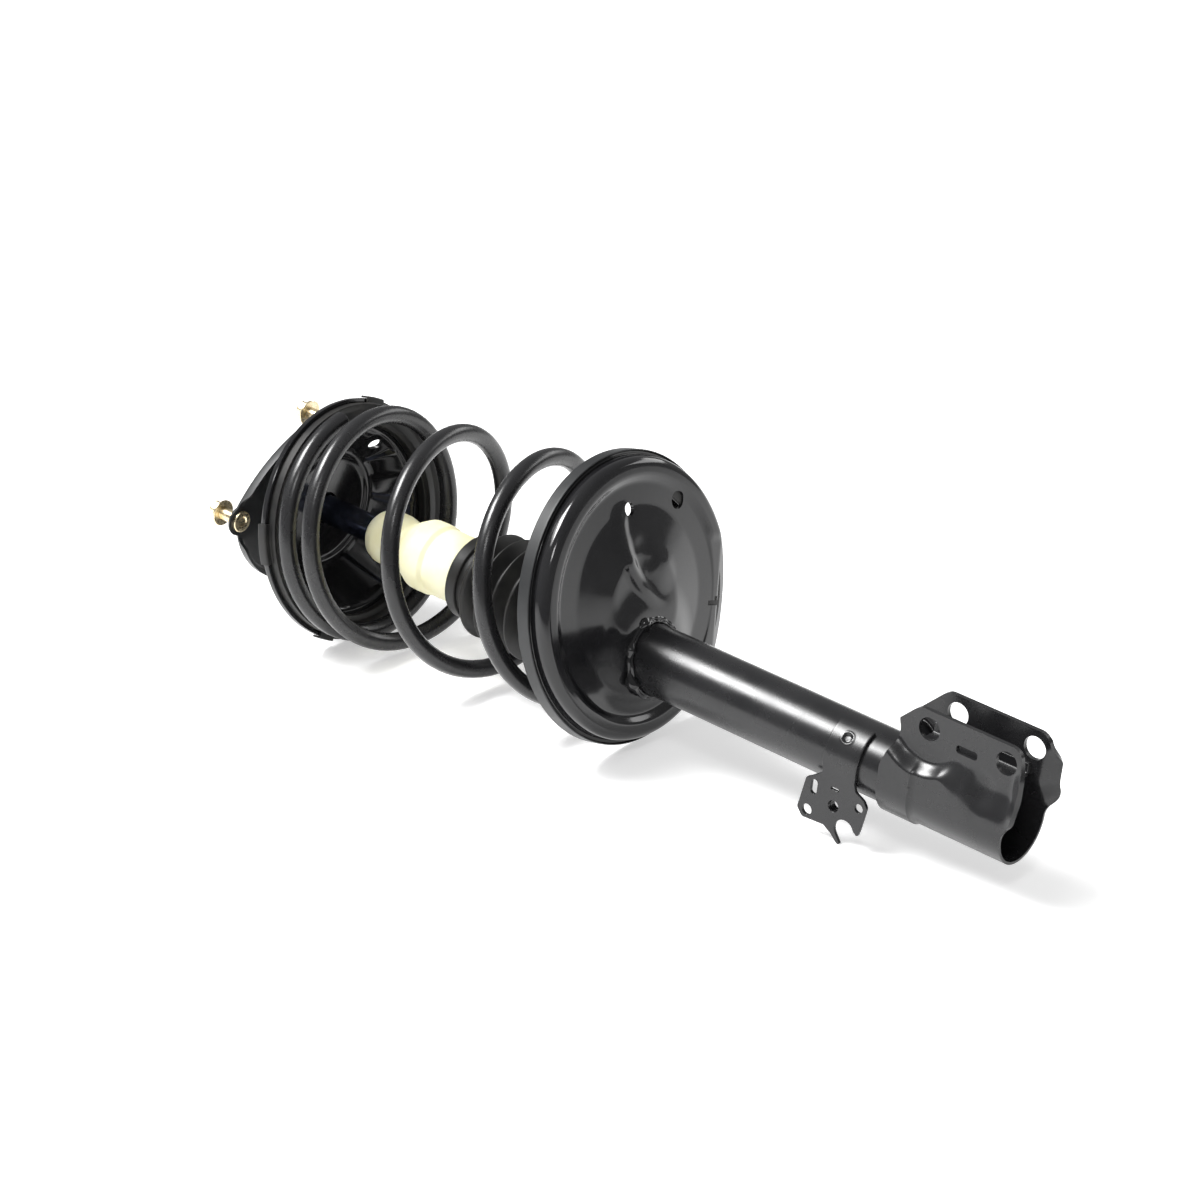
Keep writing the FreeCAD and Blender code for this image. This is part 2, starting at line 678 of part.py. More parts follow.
def bottom_cap():
    floor = cylinder(TUBE_END - BOTTOM_CAP_T, TUBE_END, TUBE_INNER_R)
    wall = sleeve(TUBE_END - BOTTOM_CAP_DEPTH, TUBE_END, TUBE_INNER_R - 2.5, TUBE_INNER_R)
    return joined([floor, wall])


def tube_cap():
    """Pressed cap over the tube's top, which the bump stop lands on."""
    top = sleeve(TUBE_TOP - TUBE_CAP_T, TUBE_TOP, ROD_R + 1.5, TUBE_OUTER_R + TUBE_CAP_T)
    skirt = sleeve(TUBE_TOP, TUBE_TOP + TUBE_CAP_SKIRT, TUBE_OUTER_R, TUBE_OUTER_R + TUBE_CAP_T)
    cap = joined([top, skirt])
    rim = [e for e in cap.Edges if len(e.Vertexes) == 1
           and abs(e.Vertexes[0].X - TUBE_TOP + TUBE_CAP_T) < 0.01 and e.BoundBox.ZMax > TUBE_OUTER_R]
    return cap.makeFillet(TUBE_CAP_T * 0.6, rim)


def rod_seal():
    lip = sleeve(GUIDE_TOP, GUIDE_TOP + SEAL_H, ROD_R + RUNNING, TUBE_INNER_R)
    relief = sleeve(GUIDE_TOP + 2, GUIDE_TOP + SEAL_H + 1, ROD_R + 1.5, ROD_R + 5)
    return lip.cut(relief)


def rod_guide():
    low = GUIDE_TOP + SEAL_H
    head = cylinder(low, CYLINDER_TOP, TUBE_INNER_R)
    neck = cylinder(CYLINDER_TOP, GUIDE_END, CYLINDER_INNER_R)
    bore = cylinder(low - 1, GUIDE_END + 1, ROD_R + RUNNING + BUSH_WALL)
    return joined([head, neck]).cut(bore)


def guide_bush():
    low = GUIDE_TOP + SEAL_H + 3
    return sleeve(low, low + BUSH_H, ROD_R + RUNNING, ROD_R + RUNNING + BUSH_WALL)


def pressure_tube():
    return sleeve(CYLINDER_TOP, CYLINDER_END, CYLINDER_INNER_R, CYLINDER_OUTER_R)


def base_valve():
    low = CYLINDER_END - BASE_VALVE_H
    plug = cylinder(low, CYLINDER_END, CYLINDER_INNER_R)
    foot = cylinder(CYLINDER_END, TUBE_END - BOTTOM_CAP_T, CYLINDER_OUTER_R)
    valve = joined([plug, foot])
    for i in range(6):
        port = Part.makeCylinder(1.5, BASE_VALVE_H + 2, polar(10, 60 * i, low - 1), X_AXIS)
        valve = valve.cut(port)
    gallery = Part.makeBox(CYLINDER_END - low, 3, 2 * CYLINDER_OUTER_R,
                           V(CYLINDER_END + 0.5, -1.5, -CYLINDER_OUTER_R))
    return valve.cut(gallery)


PISTON_TOP = ROD_END + VALVE_DISC_T * VALVE_DISC_COUNT
PISTON_LOW = PISTON_TOP + PISTON_H
STUB_END = PISTON_LOW + VALVE_DISC_T * VALVE_DISC_COUNT + PISTON_NUT_H + 2


def piston_rod():
    thread = cylinder(CORE_TOP - TOP_WASHER_T - ROD_THREAD_REACH, CUP_DEPTH, ROD_THREAD_D / 2)
    shaft = cylinder(CUP_DEPTH, ROD_END, ROD_R)
    stub = cylinder(ROD_END, STUB_END, PISTON_STUB_D / 2)
    rod = joined([thread, shaft, stub])
    shoulder = [e for e in rod.Edges if len(e.Vertexes) == 1 and abs(e.Vertexes[0].X - CUP_DEPTH) < 0.01
                and e.BoundBox.ZMax > ROD_R - 0.1]
    return rod.makeChamfer(1.0, shoulder)


def piston():
    body = sleeve(PISTON_TOP, PISTON_LOW, PISTON_STUB_D / 2, PISTON_R)
    for i in range(8):
        port = Part.makeCylinder(1.6, PISTON_H + 2, polar(9.5, 45 * i, PISTON_TOP - 1), X_AXIS)
        body = body.cut(port)
    return body


def piston_band():
    middle = PISTON_TOP + PISTON_H / 2
    return sleeve(middle - PISTON_BAND_H / 2, middle + PISTON_BAND_H / 2, PISTON_R, PISTON_R + PISTON_BAND_T)


def valve_discs():
    discs = []
    for side in (ROD_END, PISTON_LOW):
        for i in range(VALVE_DISC_COUNT):
            low = side + i * VALVE_DISC_T
            discs.append(sleeve(low, low + VALVE_DISC_T, PISTON_STUB_D / 2, VALVE_DISC_R - i * 0.6))
    return group(discs)


def piston_nut():
    low = PISTON_LOW + VALVE_DISC_T * VALVE_DISC_COUNT
    nut = round_hex(low, low + PISTON_NUT_H, PISTON_NUT_AF, NUT_CHAMFER)
    return nut.cut(cylinder(low - 1, low + PISTON_NUT_H + 1, PISTON_STUB_D / 2))


def rebound_stop():
    """Ring on the rod that meets the guide when the strut is fully drawn out."""
    low = GUIDE_END + SEAT_GAP
    return sleeve(low, low + REBOUND_STOP_H, ROD_R, REBOUND_STOP_R)


# Bump stop and dust boot

def bump_stop():
    """Foam stop with a rounded head, a waist, a stout body and a foot held in the boot's collar."""
    bore = ROD_R + LOOSE
    step = STOP_STEP
    ease = STOP_EASE
    outline = [(0, bore), (0, STOP_NOSE_R), (step, STOP_NOSE_R + step), (2 * step, STOP_HEAD_R - 1.5 * ease),
               (4 * step, STOP_HEAD_R), (STOP_HEAD_L - 2 * step, STOP_HEAD_R),
               (STOP_HEAD_L, STOP_HEAD_R - ease), (STOP_NECK_AT - step, STOP_NECK_R + ease / 2),
               (STOP_NECK_AT, STOP_NECK_R), (STOP_NECK_AT + step, STOP_NECK_R + ease),
               (STOP_BODY_FROM - step, STOP_BODY_R - 3.5 * ease), (STOP_BODY_FROM + step, STOP_BODY_R - ease),
               (STOP_BODY_FROM + 3 * step, STOP_BODY_R), (STOP_GROOVE_AT - step, STOP_BODY_R),
               (STOP_GROOVE_AT, STOP_GROOVE_R), (STOP_TAIL_FROM, STOP_TAIL_R),
               (STOP_FOOT_FROM, STOP_TAIL_R), (STOP_FOOT_FROM, STOP_FOOT_R),
               (STOP_LENGTH, STOP_FOOT_R), (STOP_LENGTH, bore)]
    return revolved([(STOP_TOP + x, radius) for x, radius in outline])


BOOT_NECK_FROM = BOOT_TOP + BOOT_COLLAR_L
BOOT_RIBS_FROM = BOOT_NECK_FROM + BOOT_NECK_L
BOOT_CUFF_FROM = BOOT_RIBS_FROM + BOOT_RIBS * BOOT_RIB_PITCH
BOOT_END = BOOT_CUFF_FROM + BOOT_CUFF_L


def boot_skin(wall):
    """Ribbed part of the boot as a ruled loft through four circles a rib, drawn in by wall."""
    circles = [(V(BOOT_RIBS_FROM, 0, 0), X_AXIS, BOOT_VALLEY_R - wall)]
    for i in range(BOOT_RIBS):
        low = BOOT_RIBS_FROM + i * BOOT_RIB_PITCH
        high = low + BOOT_RIB_PITCH
        ridge = (low + high) / 2
        rib = ((low + BOOT_VALLEY_W / 2, BOOT_VALLEY_R), (ridge - BOOT_RIDGE_W / 2, BOOT_RIDGE_R),
               (ridge + BOOT_RIDGE_W / 2, BOOT_RIDGE_R), (high - BOOT_VALLEY_W / 2, BOOT_VALLEY_R))
        for x, radius in rib:
            circles.append((V(x, 0, 0), X_AXIS, radius - wall))
    circles.append((V(BOOT_CUFF_FROM, 0, 0), X_AXIS, BOOT_VALLEY_R - wall))
    return stepped_loft(circles)


def dust_boot():
    """Bellows from the bump stop's foot to the tube, with a thick collar and a plain cuff."""
    collar = sleeve(BOOT_TOP, BOOT_NECK_FROM, BOOT_COLLAR_BORE_R, BOOT_COLLAR_R)
    neck = sleeve(BOOT_NECK_FROM, BOOT_RIBS_FROM + BOOT_WALL, BOOT_COLLAR_BORE_R, BOOT_NECK_R)
    top = sleeve(BOOT_RIBS_FROM, BOOT_RIBS_FROM + BOOT_WALL, BOOT_COLLAR_BORE_R, BOOT_VALLEY_R)
    ribs = boot_skin(0).cut(boot_skin(BOOT_WALL))
    shoulder = sleeve(BOOT_CUFF_FROM - BOOT_WALL, BOOT_CUFF_FROM, TUBE_OUTER_R, BOOT_VALLEY_R)
    cuff = sleeve(BOOT_CUFF_FROM - BOOT_WALL, BOOT_END, TUBE_OUTER_R, BOOT_CUFF_R)
    return joined([ribs, collar, neck, top, shoulder, cuff])


# Knuckle bracket

EAR_IN_Y = EAR_GAP / 2


def ear_outline(y):
    """Flat of an ear in the plane at y."""
    points = [V(EAR_LEFT, y, EAR_FOOT), V(EAR_LEFT, y, EAR_TOP - EAR_LEFT_CUT),
              V(EAR_LEFT + EAR_LEFT_CUT, y, EAR_TOP), V(EAR_RIGHT - EAR_RIGHT_CUT, y, EAR_TOP),
              V(EAR_RIGHT, y, EAR_TOP - EAR_RIGHT_CUT), V(EAR_RIGHT, y, EAR_FOOT)]
    return Part.Face(polygon(points))


def wrap_ring(x0, x1, thickness):
    """Round part of the bracket under the tube, below the axis line."""
    ring = sleeve(x0, x1, TUBE_OUTER_R, TUBE_OUTER_R + thickness)
    size = 4 * TUBE_OUTER_R
    return ring.common(Part.makeBox(x1 - x0, size, size, V(x0, -size / 2, -size)))


def shoulder_sheet(side):
    """Sheet that leads from the wrap at the tube's flank in to the ear's plane."""
    flank = TUBE_OUTER_R
    inner = EAR_IN_Y
    overlap = 0.5
    section = [(flank, -overlap), (flank, SHOULDER_FROM), (inner, EAR_FOOT + 1), (inner, EAR_FOOT + 4),
               (inner + BRACKET_T, EAR_FOOT + 4), (inner + BRACKET_T, EAR_FOOT),
               (flank + BRACKET_T, SHOULDER_FROM + 1), (flank + BRACKET_T, -overlap)]
    x0 = WRAP_LEFT + SHOULDER_IN
    face = Part.Face(polygon([V(x0, side * y, z) for y, z in section]))
    return face.extrude(V(EAR_RIGHT - SHOULDER_IN - x0, 0, 0))


def ear(side):
    """One ear of the outer bracket, on the near side for -1 and on the far side for 1."""
    plate = ear_outline(side * EAR_IN_Y).extrude(V(0, side * BRACKET_T, 0))
    across = [e for e in plate.Edges if abs(e.tangentAt(e.FirstParameter).y) > 0.99
              and e.CenterOfMass.z > EAR_FOOT + 1]
    return plate.makeFillet(EAR_EASE_R, across)


def flare(side):
    """End of an ear, turned outwards past the wrap, its lower edge running back to the wrap."""
    outer_y = EAR_IN_Y + BRACKET_T
    root = [(TUBE_OUTER_R, SHOULDER_FROM), (EAR_IN_Y, EAR_FOOT + 1), (EAR_IN_Y, FLARE_TOP),
            (outer_y, FLARE_TOP), (outer_y, EAR_FOOT), (TUBE_OUTER_R + BRACKET_T, SHOULDER_FROM + 1)]
    lip = [(max(min(y, outer_y), EAR_IN_Y) + FLARE_OUT, max(z, EAR_FOOT)) for y, z in root]
    lip[0] = (EAR_IN_Y + FLARE_OUT, EAR_FOOT)
    wires = [polygon([V(x, side * y, z) for y, z in points])
             for x, points in ((EAR_RIGHT - SHOULDER_IN, root), (EAR_RIGHT + FLARE_L, lip))]
    return Part.makeLoft(wires, True, True)


def bolt_holes():
    holes = []
    for i in range(2):
        place = V(HOLE_X + i * HOLE_PITCH, -2 * EAR_GAP, HOLE_HEIGHT)
        holes.append(Part.makeCylinder(HOLE_D / 2, 4 * EAR_GAP, place, Y_AXIS))
    return holes


def knuckle_bracket_outer():
    pieces = [wrap_ring(WRAP_LEFT, WRAP_STEP_X, BRACKET_T), wrap_ring(WRAP_STEP_X, WRAP_RIGHT, WRAP_THIN_T)]
    for side in (-1, 1):
        pieces += [shoulder_sheet(side), ear(side), flare(side)]
    bracket = joined(pieces)
    for hole in bolt_holes():
        bracket = bracket.cut(hole)
    corner = V(SLOT_X - SLOT_L / 2, -1.5 * EAR_GAP, SLOT_HEIGHT - SLOT_W / 2)
    return bracket.cut(Part.makeBox(SLOT_L, EAR_GAP, SLOT_W, corner))


def knuckle_bracket_inner():
    """Channel inside the ears that closes the bracket over the tube."""
    outer_y = EAR_IN_Y
    inner_y = EAR_IN_Y - INNER_T
    web_z = TUBE_OUTER_R + INNER_WEB_RISE
    points = [(-outer_y, INNER_TOP), (-outer_y, web_z), (outer_y, web_z), (outer_y, INNER_TOP),
              (inner_y, INNER_TOP), (inner_y, web_z + INNER_T), (-inner_y, web_z + INNER_T),
              (-inner_y, INNER_TOP)]
    face = Part.Face(polygon([V(INNER_LEFT, y, z) for y, z in points]))
    channel = face.extrude(V(INNER_RIGHT - INNER_LEFT, 0, 0))
    for hole in bolt_holes():
        channel = channel.cut(hole)
    return channel


# Hose bracket

def on_tab(place, y=-TUBE_OUTER_R):
    """Point of the tab's drawing, in the plane at y."""
    return V(BAND_LEFT + place[0], y, place[1])


def on_notch(degrees):
    angle = math.radians(degrees)
    return on_tab((NOTCH_AT[0] + NOTCH_R * math.cos(angle), NOTCH_AT[1] + NOTCH_R * math.sin(angle)))


def tab_outline():
    """Outline of the flat tab under the band, in the plane of its inner face."""
    x, z = HOOK_TIP
    hook = [(x - HOOK_W / 2, z + HOOK_W / 3), (x, z), (x + HOOK_W / 2, z + HOOK_W / 3)]
    left = [on_tab(place) for place in [(0, TAB_OVERLAP)] + list(TAB_LEFT) + hook]
    right = [on_tab(place) for place in list(TAB_RIGHT) + [(BAND_W, TAB_OVERLAP)]]
    notch = [on_notch(a) for a in (NOTCH_FROM_DEG, (NOTCH_FROM_DEG + NOTCH_TO_DEG) / 2, NOTCH_TO_DEG)]
    left.append(notch[0])
    right.insert(0, notch[2])
    right.append(left[0])
    lines = [Part.LineSegment(a, b).toShape() for a, b in zip(left, left[1:])]
    lines.append(Part.Arc(*notch).toShape())
    lines += [Part.LineSegment(a, b).toShape() for a, b in zip(right, right[1:])]
    return Part.Wire(lines)


def tab_drill(place, diameter):
    """Cutter through the tab at a place of its drawing."""
    return Part.makeCylinder(diameter / 2, 4 * TAB_T, on_tab(place, -TUBE_OUTER_R - 2 * TAB_T), Y_AXIS)


def hose_bracket():
    right = BAND_LEFT + BAND_W
    band = sleeve(BAND_LEFT, right, TUBE_OUTER_R, TUBE_OUTER_R + BAND_T)
    far = 2 * TUBE_OUTER_R
    wedge = polygon([V(BAND_LEFT, 0, 0), polar(far, BAND_START_DEG, BAND_LEFT),
                     V(BAND_LEFT, -far, far), V(BAND_LEFT, -far, 0)])
    band = band.common(Part.Face(wedge).extrude(V(BAND_W, 0, 0)))
    tab = Part.Face(tab_outline()).extrude(V(0, -TAB_T, 0))
    bracket = joined([band, tab])
    for x, z, diameter in TAB_HOLES:
        bracket = bracket.cut(tab_drill((x, z), diameter))
    corner = (TAB_SLOT[0] - TAB_SLOT_W / 2, TAB_SLOT[1] - TAB_SLOT_L / 2)
    slot = Part.makeBox(TAB_SLOT_W, 4 * TAB_T, TAB_SLOT_L, on_tab(corner, -TUBE_OUTER_R - 2 * TAB_T))
    return bracket.cut(slot).cut(tab_drill(WELD_NUT_AT, 2 * (WELD_NUT_BORE_R + WELD_NUT_CLEARANCE)))


def hose_weld_nut():
    outer = Part.makeCylinder(WELD_NUT_OUTER_R, WELD_NUT_L, on_tab(WELD_NUT_AT), Y_AXIS)
    bore = Part.makeCylinder(WELD_NUT_BORE_R, WELD_NUT_L, on_tab(WELD_NUT_AT), Y_AXIS)
    return outer.cut(bore)


# Laying the strut down

def lie_angle():
    """Dip of the axis, in degrees, when the upper rim and the hose hook rest on a level floor."""
    rim = UPPER_CENTRE - tilt_up(UPPER_TILT) * UPPER_RIM_R
    hook = on_tab(HOOK_TIP)
    return math.degrees(math.atan2(hook.z - rim.z, hook.x - rim.x))


NODES = {
    "mount_plate": mount_plate,
    "mount_studs": lambda: group([stud(a) for a in STUD_ANGLES]),
    "stud_nuts": lambda: group([flange_nut(a) for a in STUD_ANGLES]),
    "mount_rubber": mount_rubber,
    "mount_core": mount_core,
    "top_washer": top_washer,
    "rod_nut": rod_nut,
    "bearing_outer_race": bearing_outer_race,
    "bearing_balls": bearing_balls,
    "bearing_cage": bearing_cage,
    "bearing_inner_race": bearing_inner_race,
    "upper_spring_seat": upper_spring_seat,
    "upper_spring_insulator": upper_spring_insulator,
    "coil_spring": coil_spring,
    "lower_spring_insulator": lower_spring_insulator,
    "lower_spring_seat": lower_spring_seat,
    "seat_collar": seat_collar,
    "bump_stop": bump_stop,
    "dust_boot": dust_boot,
    "piston_rod": piston_rod,
    "rebound_stop": rebound_stop,
    "tube_cap": tube_cap,
    "rod_seal": rod_seal,
    "rod_guide": rod_guide,
    "guide_bush": guide_bush,
    "strut_tube": strut_tube,
    "bottom_cap": bottom_cap,
    "pressure_tube": pressure_tube,
    "piston": piston,
    "piston_band": piston_band,
    "valve_discs": valve_discs,
    "piston_nut": piston_nut,
    "base_valve": base_valve,
    "knuckle_bracket_outer": knuckle_bracket_outer,
    "knuckle_bracket_inner": knuckle_bracket_inner,
    "hose_bracket": hose_bracket,
    "hose_weld_nut": hose_weld_nut,
}

os.makedirs("parts", exist_ok=True)
dip = lie_angle()
print("axis dips %.3f degrees towards the knuckle" % dip)
for name, make in NODES.items():
    shape = make()
    shape.rotate(ORIGIN, Y_AXIS, dip)
    if not shape.isValid() or any(solid.Volume <= 0 for solid in shape.Solids):
        print("check", name)
    print("%-24s solids %2d volume %10.0f" % (name, len(shape.Solids), shape.Volume))
    shape.exportStep("parts/%s.step" % name)
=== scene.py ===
import json
import math

import bmesh
import bpy
from mathutils import Matrix, Vector


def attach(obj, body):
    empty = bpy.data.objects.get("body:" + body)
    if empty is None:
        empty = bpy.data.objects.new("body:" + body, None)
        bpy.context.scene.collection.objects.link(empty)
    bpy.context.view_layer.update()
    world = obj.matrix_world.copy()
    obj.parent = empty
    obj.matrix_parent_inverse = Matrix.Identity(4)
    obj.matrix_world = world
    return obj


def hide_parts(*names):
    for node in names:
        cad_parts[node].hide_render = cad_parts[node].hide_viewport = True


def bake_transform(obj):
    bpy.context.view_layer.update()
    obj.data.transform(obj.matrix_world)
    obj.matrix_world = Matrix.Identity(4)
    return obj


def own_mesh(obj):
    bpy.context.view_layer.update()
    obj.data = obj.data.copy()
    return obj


# A strut assembly on a pale studio floor.
#
# Pieces are drawn in the damper's own frame, in millimetres: +X from the top mount's mating face
# towards the knuckle, +Z the side of the bracket's ears, -Y the near side. Angles round the axis
# are counted from +Z towards -Y. in_row lays a point down into the row frame, in metres.

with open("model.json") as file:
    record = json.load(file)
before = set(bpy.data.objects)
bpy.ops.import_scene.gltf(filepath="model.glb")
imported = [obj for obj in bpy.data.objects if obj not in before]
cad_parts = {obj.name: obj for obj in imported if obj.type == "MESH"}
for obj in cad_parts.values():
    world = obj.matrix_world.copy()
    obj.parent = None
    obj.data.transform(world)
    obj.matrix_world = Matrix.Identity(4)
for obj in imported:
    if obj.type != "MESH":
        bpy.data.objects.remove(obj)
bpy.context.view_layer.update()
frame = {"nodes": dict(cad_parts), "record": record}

MM = 0.001
LIE_DEG = 3.981
LAY = Matrix.Rotation(math.radians(LIE_DEG), 4, "Y")
FLOOR_Z = -0.09758

# Driving sizes
TUBE_R = 25.5
ROD_R = 11.0
THREAD_R = 6.0
COLLAR_R = 28.5
SEAT_HUB_X = 30.0
UPPER_X = 58.7
UPPER_TILT = 12.3
UPPER_RIM_R = 94.5
LOWER_X = 339.2
LOWER_Z = 37.8
LOWER_TILT = 14.5
LOWER_RIM_R = 108.0
STUD_CIRCLE_R = 63.0
BOLT_R = 8.5
FIRST_STUD_DEG = 94.0
LOBE_R = 12.0
HOLE_X = 619.1
HOLE_PITCH = 62.6
HOLE_Z = 51.0


# Mesh helpers

def in_row(p):
    return LAY @ Vector(p) * MM


def smooth(x):
    x = min(max(x, 0.0), 1.0)
    return x * x * (3 - 2 * x)


def bump(x, half):
    """One at x = 0, falling smoothly to nothing at half each side."""
    return 1 - smooth(abs(x) / half)


def least(a, b, ease):
    """Smaller of two values, with the change-over rounded."""
    share = max(ease - abs(a - b), 0.0) / ease
    return min(a, b) - share * share * ease / 4


def turn(degrees):
    return math.radians(degrees)


def circle(count, start=0.0):
    return [start + 2 * math.pi * i / count for i in range(count)]


def arc(start, end, count):
    return [turn(start + (end - start) * i / count) for i in range(count + 1)]


def rounded(points, steps=5, closed=True):
    """Corner points (a, b) or (a, b, radius) with the given corners rounded."""
    count = len(points)
    result = []
    for i, point in enumerate(points):
        here = Vector(point[:2])
        inner = closed or 0 < i < count - 1
        if len(point) < 3 or not inner:
            result.append((here.x, here.y))
            continue
        before = Vector(points[i - 1][:2]) - here
        after = Vector(points[(i + 1) % count][:2]) - here
        opening = before.angle(after)
        reach = point[2] / math.tan(opening / 2)
        reach = min(reach, before.length * 0.5, after.length * 0.5)
        radius = reach * math.tan(opening / 2)
        start = here + before.normalized() * reach
        end = here + after.normalized() * reach
        halfway = (before.normalized() + after.normalized()).normalized()
        middle = here + halfway * radius / math.sin(opening / 2)
        first = start - middle
        sweep = first.angle_signed(end - middle)
        for k in range(steps + 1):
            spoke = first.copy()
            spoke.rotate(Matrix.Rotation(-sweep * k / steps, 2))
            result.append(tuple(middle + spoke))
    return result


def dense(points, step, closed=True):
    """The same line with points at most step apart."""
    result = []
    last = len(points) if closed else len(points) - 1
    for i in range(last):
        a = Vector(points[i])
        b = Vector(points[(i + 1) % len(points)])
        pieces = max(1, math.ceil((b - a).length / step))
        result += [tuple(a.lerp(b, k / pieces)) for k in range(pieces)]
    if not closed:
        result.append(points[-1])
    return result


def rings_on(points, centre=(0.0, 0.0), tilt=0.0):
    """Rings (x, z, tilt, radius) for a profile (height, radius) on a tilted seat."""
    t = turn(tilt)
    return [(centre[0] + h * math.cos(t), centre[1] + h * math.sin(t), tilt, r) for h, r in points]


def skin(rings, angles, lift=None, closed=True, wrap=True):
    """Surface through rings; lift gives each point a push along the ring's normal and outwards."""
    verts = []
    faces = []
    for i, (x, z, tilt, r) in enumerate(rings):
        nx = math.cos(turn(tilt))
        nz = math.sin(turn(tilt))
        for angle in angles:
            push, out = lift(i, angle) if lift else (0.0, 0.0)
            side = (r + out) * math.cos(angle)
            verts.append((x + push * nx - side * nz, -(r + out) * math.sin(angle), z + push * nz + side * nx))
    n = len(angles)
    m = len(rings)
    for i in range(m if closed else m - 1):
        for j in range(n if wrap else n - 1):
            k = (i + 1) % m
            l = (j + 1) % n
            faces.append((i * n + j, i * n + l, k * n + l, k * n + j))
    if not wrap:
        faces.append([i * n for i in range(m)])
        faces.append([i * n + n - 1 for i in reversed(range(m))])
    return verts, faces


def joined(parts):
    verts = []
    faces = []
    for part_verts, part_faces in parts:
        base = len(verts)
        verts += part_verts
        faces += [[base + i for i in face] for face in part_faces]
    return verts, faces


def mesh_object(name, verts, faces, sharp=38):
    """Object with its points laid down in the row frame, cleaned, and smooth but for sharp edges."""
    data = bpy.data.meshes.new(name)
    data.from_pydata([in_row(v) for v in verts], [], faces)
    work = bmesh.new()
    work.from_mesh(data)
    bmesh.ops.remove_doubles(work, verts=work.verts, dist=2e-6)
    bmesh.ops.dissolve_degenerate(work, edges=work.edges, dist=1e-7)
    bmesh.ops.recalc_face_normals(work, faces=work.faces)
    work.to_mesh(data)
    work.free()
    data.polygons.foreach_set("use_smooth", [True] * len(data.polygons))
    data.set_sharp_from_angle(angle=turn(sharp))
    obj = bpy.data.objects.new(name, data)
    bpy.context.scene.collection.objects.link(obj)
    return obj


def soften(obj, width, segments=2, limit=38):
    """Small rounding on every sharp edge."""
    step = obj.modifiers.new("edges", "BEVEL")
    step.width = width * MM
    step.segments = segments
    step.limit_method = "ANGLE"
    step.angle_limit = turn(limit)
    step.harden_normals = True


def cut_out(obj, cutter, sharp=38):
    """Take the cutter's volume out of the object, and the cutter out of the scene."""
    step = obj.modifiers.new("cut", "BOOLEAN")
    step.operation = "DIFFERENCE"
    step.solver = "EXACT"
    step.object = cutter
    bpy.context.view_layer.update()
    graph = bpy.context.evaluated_depsgraph_get()
    data = bpy.data.meshes.new_from_object(obj.evaluated_get(graph))
    obj.modifiers.clear()
    obj.data = data
    data.polygons.foreach_set("use_smooth", [True] * len(data.polygons))
    data.set_sharp_from_angle(angle=turn(sharp))
    bpy.data.objects.remove(cutter)


def prism(outline, place):
    """Closed prism; place(p, q, side) puts an outline point on its low (0) or high (1) end."""
    n = len(outline)
    verts = [place(p, q, 0) for p, q in outline] + [place(p, q, 1) for p, q in outline]
    faces = [list(range(n)), [n + i for i in reversed(range(n))]]
    faces += [[i, (i + 1) % n, n + (i + 1) % n, n + i] for i in range(n)]
    return verts, faces


def round_outline(centre, radius, count=40):
    return [(centre[0] + radius * math.cos(a), centre[1] + radius * math.sin(a)) for a in circle(count)]


def across(low, high):
    """Placing for prisms through a sheet that stands in the XZ plane."""
    return lambda p, q, side: (p, (low, high)[side], q)


def along(low, high):
    """Placing for prisms along the damper axis, outline given as (y, z)."""
    return lambda p, q, side: ((low, high)[side], p, q)


def on_seat(centre, tilt, low, high):
    """Placing for prisms through a tilted seat, outline given as (-y, up)."""
    n = Vector((math.cos(turn(tilt)), 0, math.sin(turn(tilt))))
    u = Vector((-math.sin(turn(tilt)), 0, math.cos(turn(tilt))))
    base = Vector((centre[0], 0, centre[1]))
    return lambda p, q, side: tuple(base + n * (low, high)[side] + u * q - Vector((0, p, 0)))


def dress(obj, material, slot, body, *nodes):
    obj.data.materials.clear()
    obj.data.materials.append(material)
    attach(obj, body)
    if nodes:
        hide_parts(*nodes)
    return obj


# Materials

def node_material(name):
    material = bpy.data.materials.new(name)
    material.use_nodes = True
    tree = material.node_tree
    shader = tree.nodes["Principled BSDF"]
    return material, tree, shader


def noise_at(tree, scale, detail=3.0, roughness=0.55, stretch=(1.0, 1.0, 1.0)):
    """Noise in the object's own coordinates, scale in features per millimetre."""
    where = tree.nodes.new("ShaderNodeTexCoord")
    mapping = tree.nodes.new("ShaderNodeMapping")
    mapping.inputs["Scale"].default_value = [scale / MM * s for s in stretch]
    texture = tree.nodes.new("ShaderNodeTexNoise")
    texture.inputs["Scale"].default_value = 1.0
    texture.inputs["Detail"].default_value = detail
    texture.inputs["Roughness"].default_value = roughness
    tree.links.new(where.outputs["Object"], mapping.inputs["Vector"])
    tree.links.new(mapping.outputs["Vector"], texture.inputs["Vector"])
    return texture.outputs["Fac"]


def spread(tree, source, low, high, start=0.3, end=0.7):
    """Map a noise onto a range of values."""
    node = tree.nodes.new("ShaderNodeMapRange")
    node.inputs["From Min"].default_value = start
    node.inputs["From Max"].default_value = end
    node.inputs["To Min"].default_value = low
    node.inputs["To Max"].default_value = high
    tree.links.new(source, node.inputs["Value"])
    return node.outputs["Result"]


def tints(tree, source, *stops):
    """Colour ramp over a noise; stops are (place, colour)."""
    ramp = tree.nodes.new("ShaderNodeValToRGB")
    band = ramp.color_ramp
    while len(band.elements) < len(stops):
        band.elements.new(0.5)
    for element, (place, colour) in zip(band.elements, stops):
        element.position = place
        element.color = (*colour, 1.0)
    tree.links.new(source, ramp.inputs["Fac"])
    return ramp.outputs["Color"]


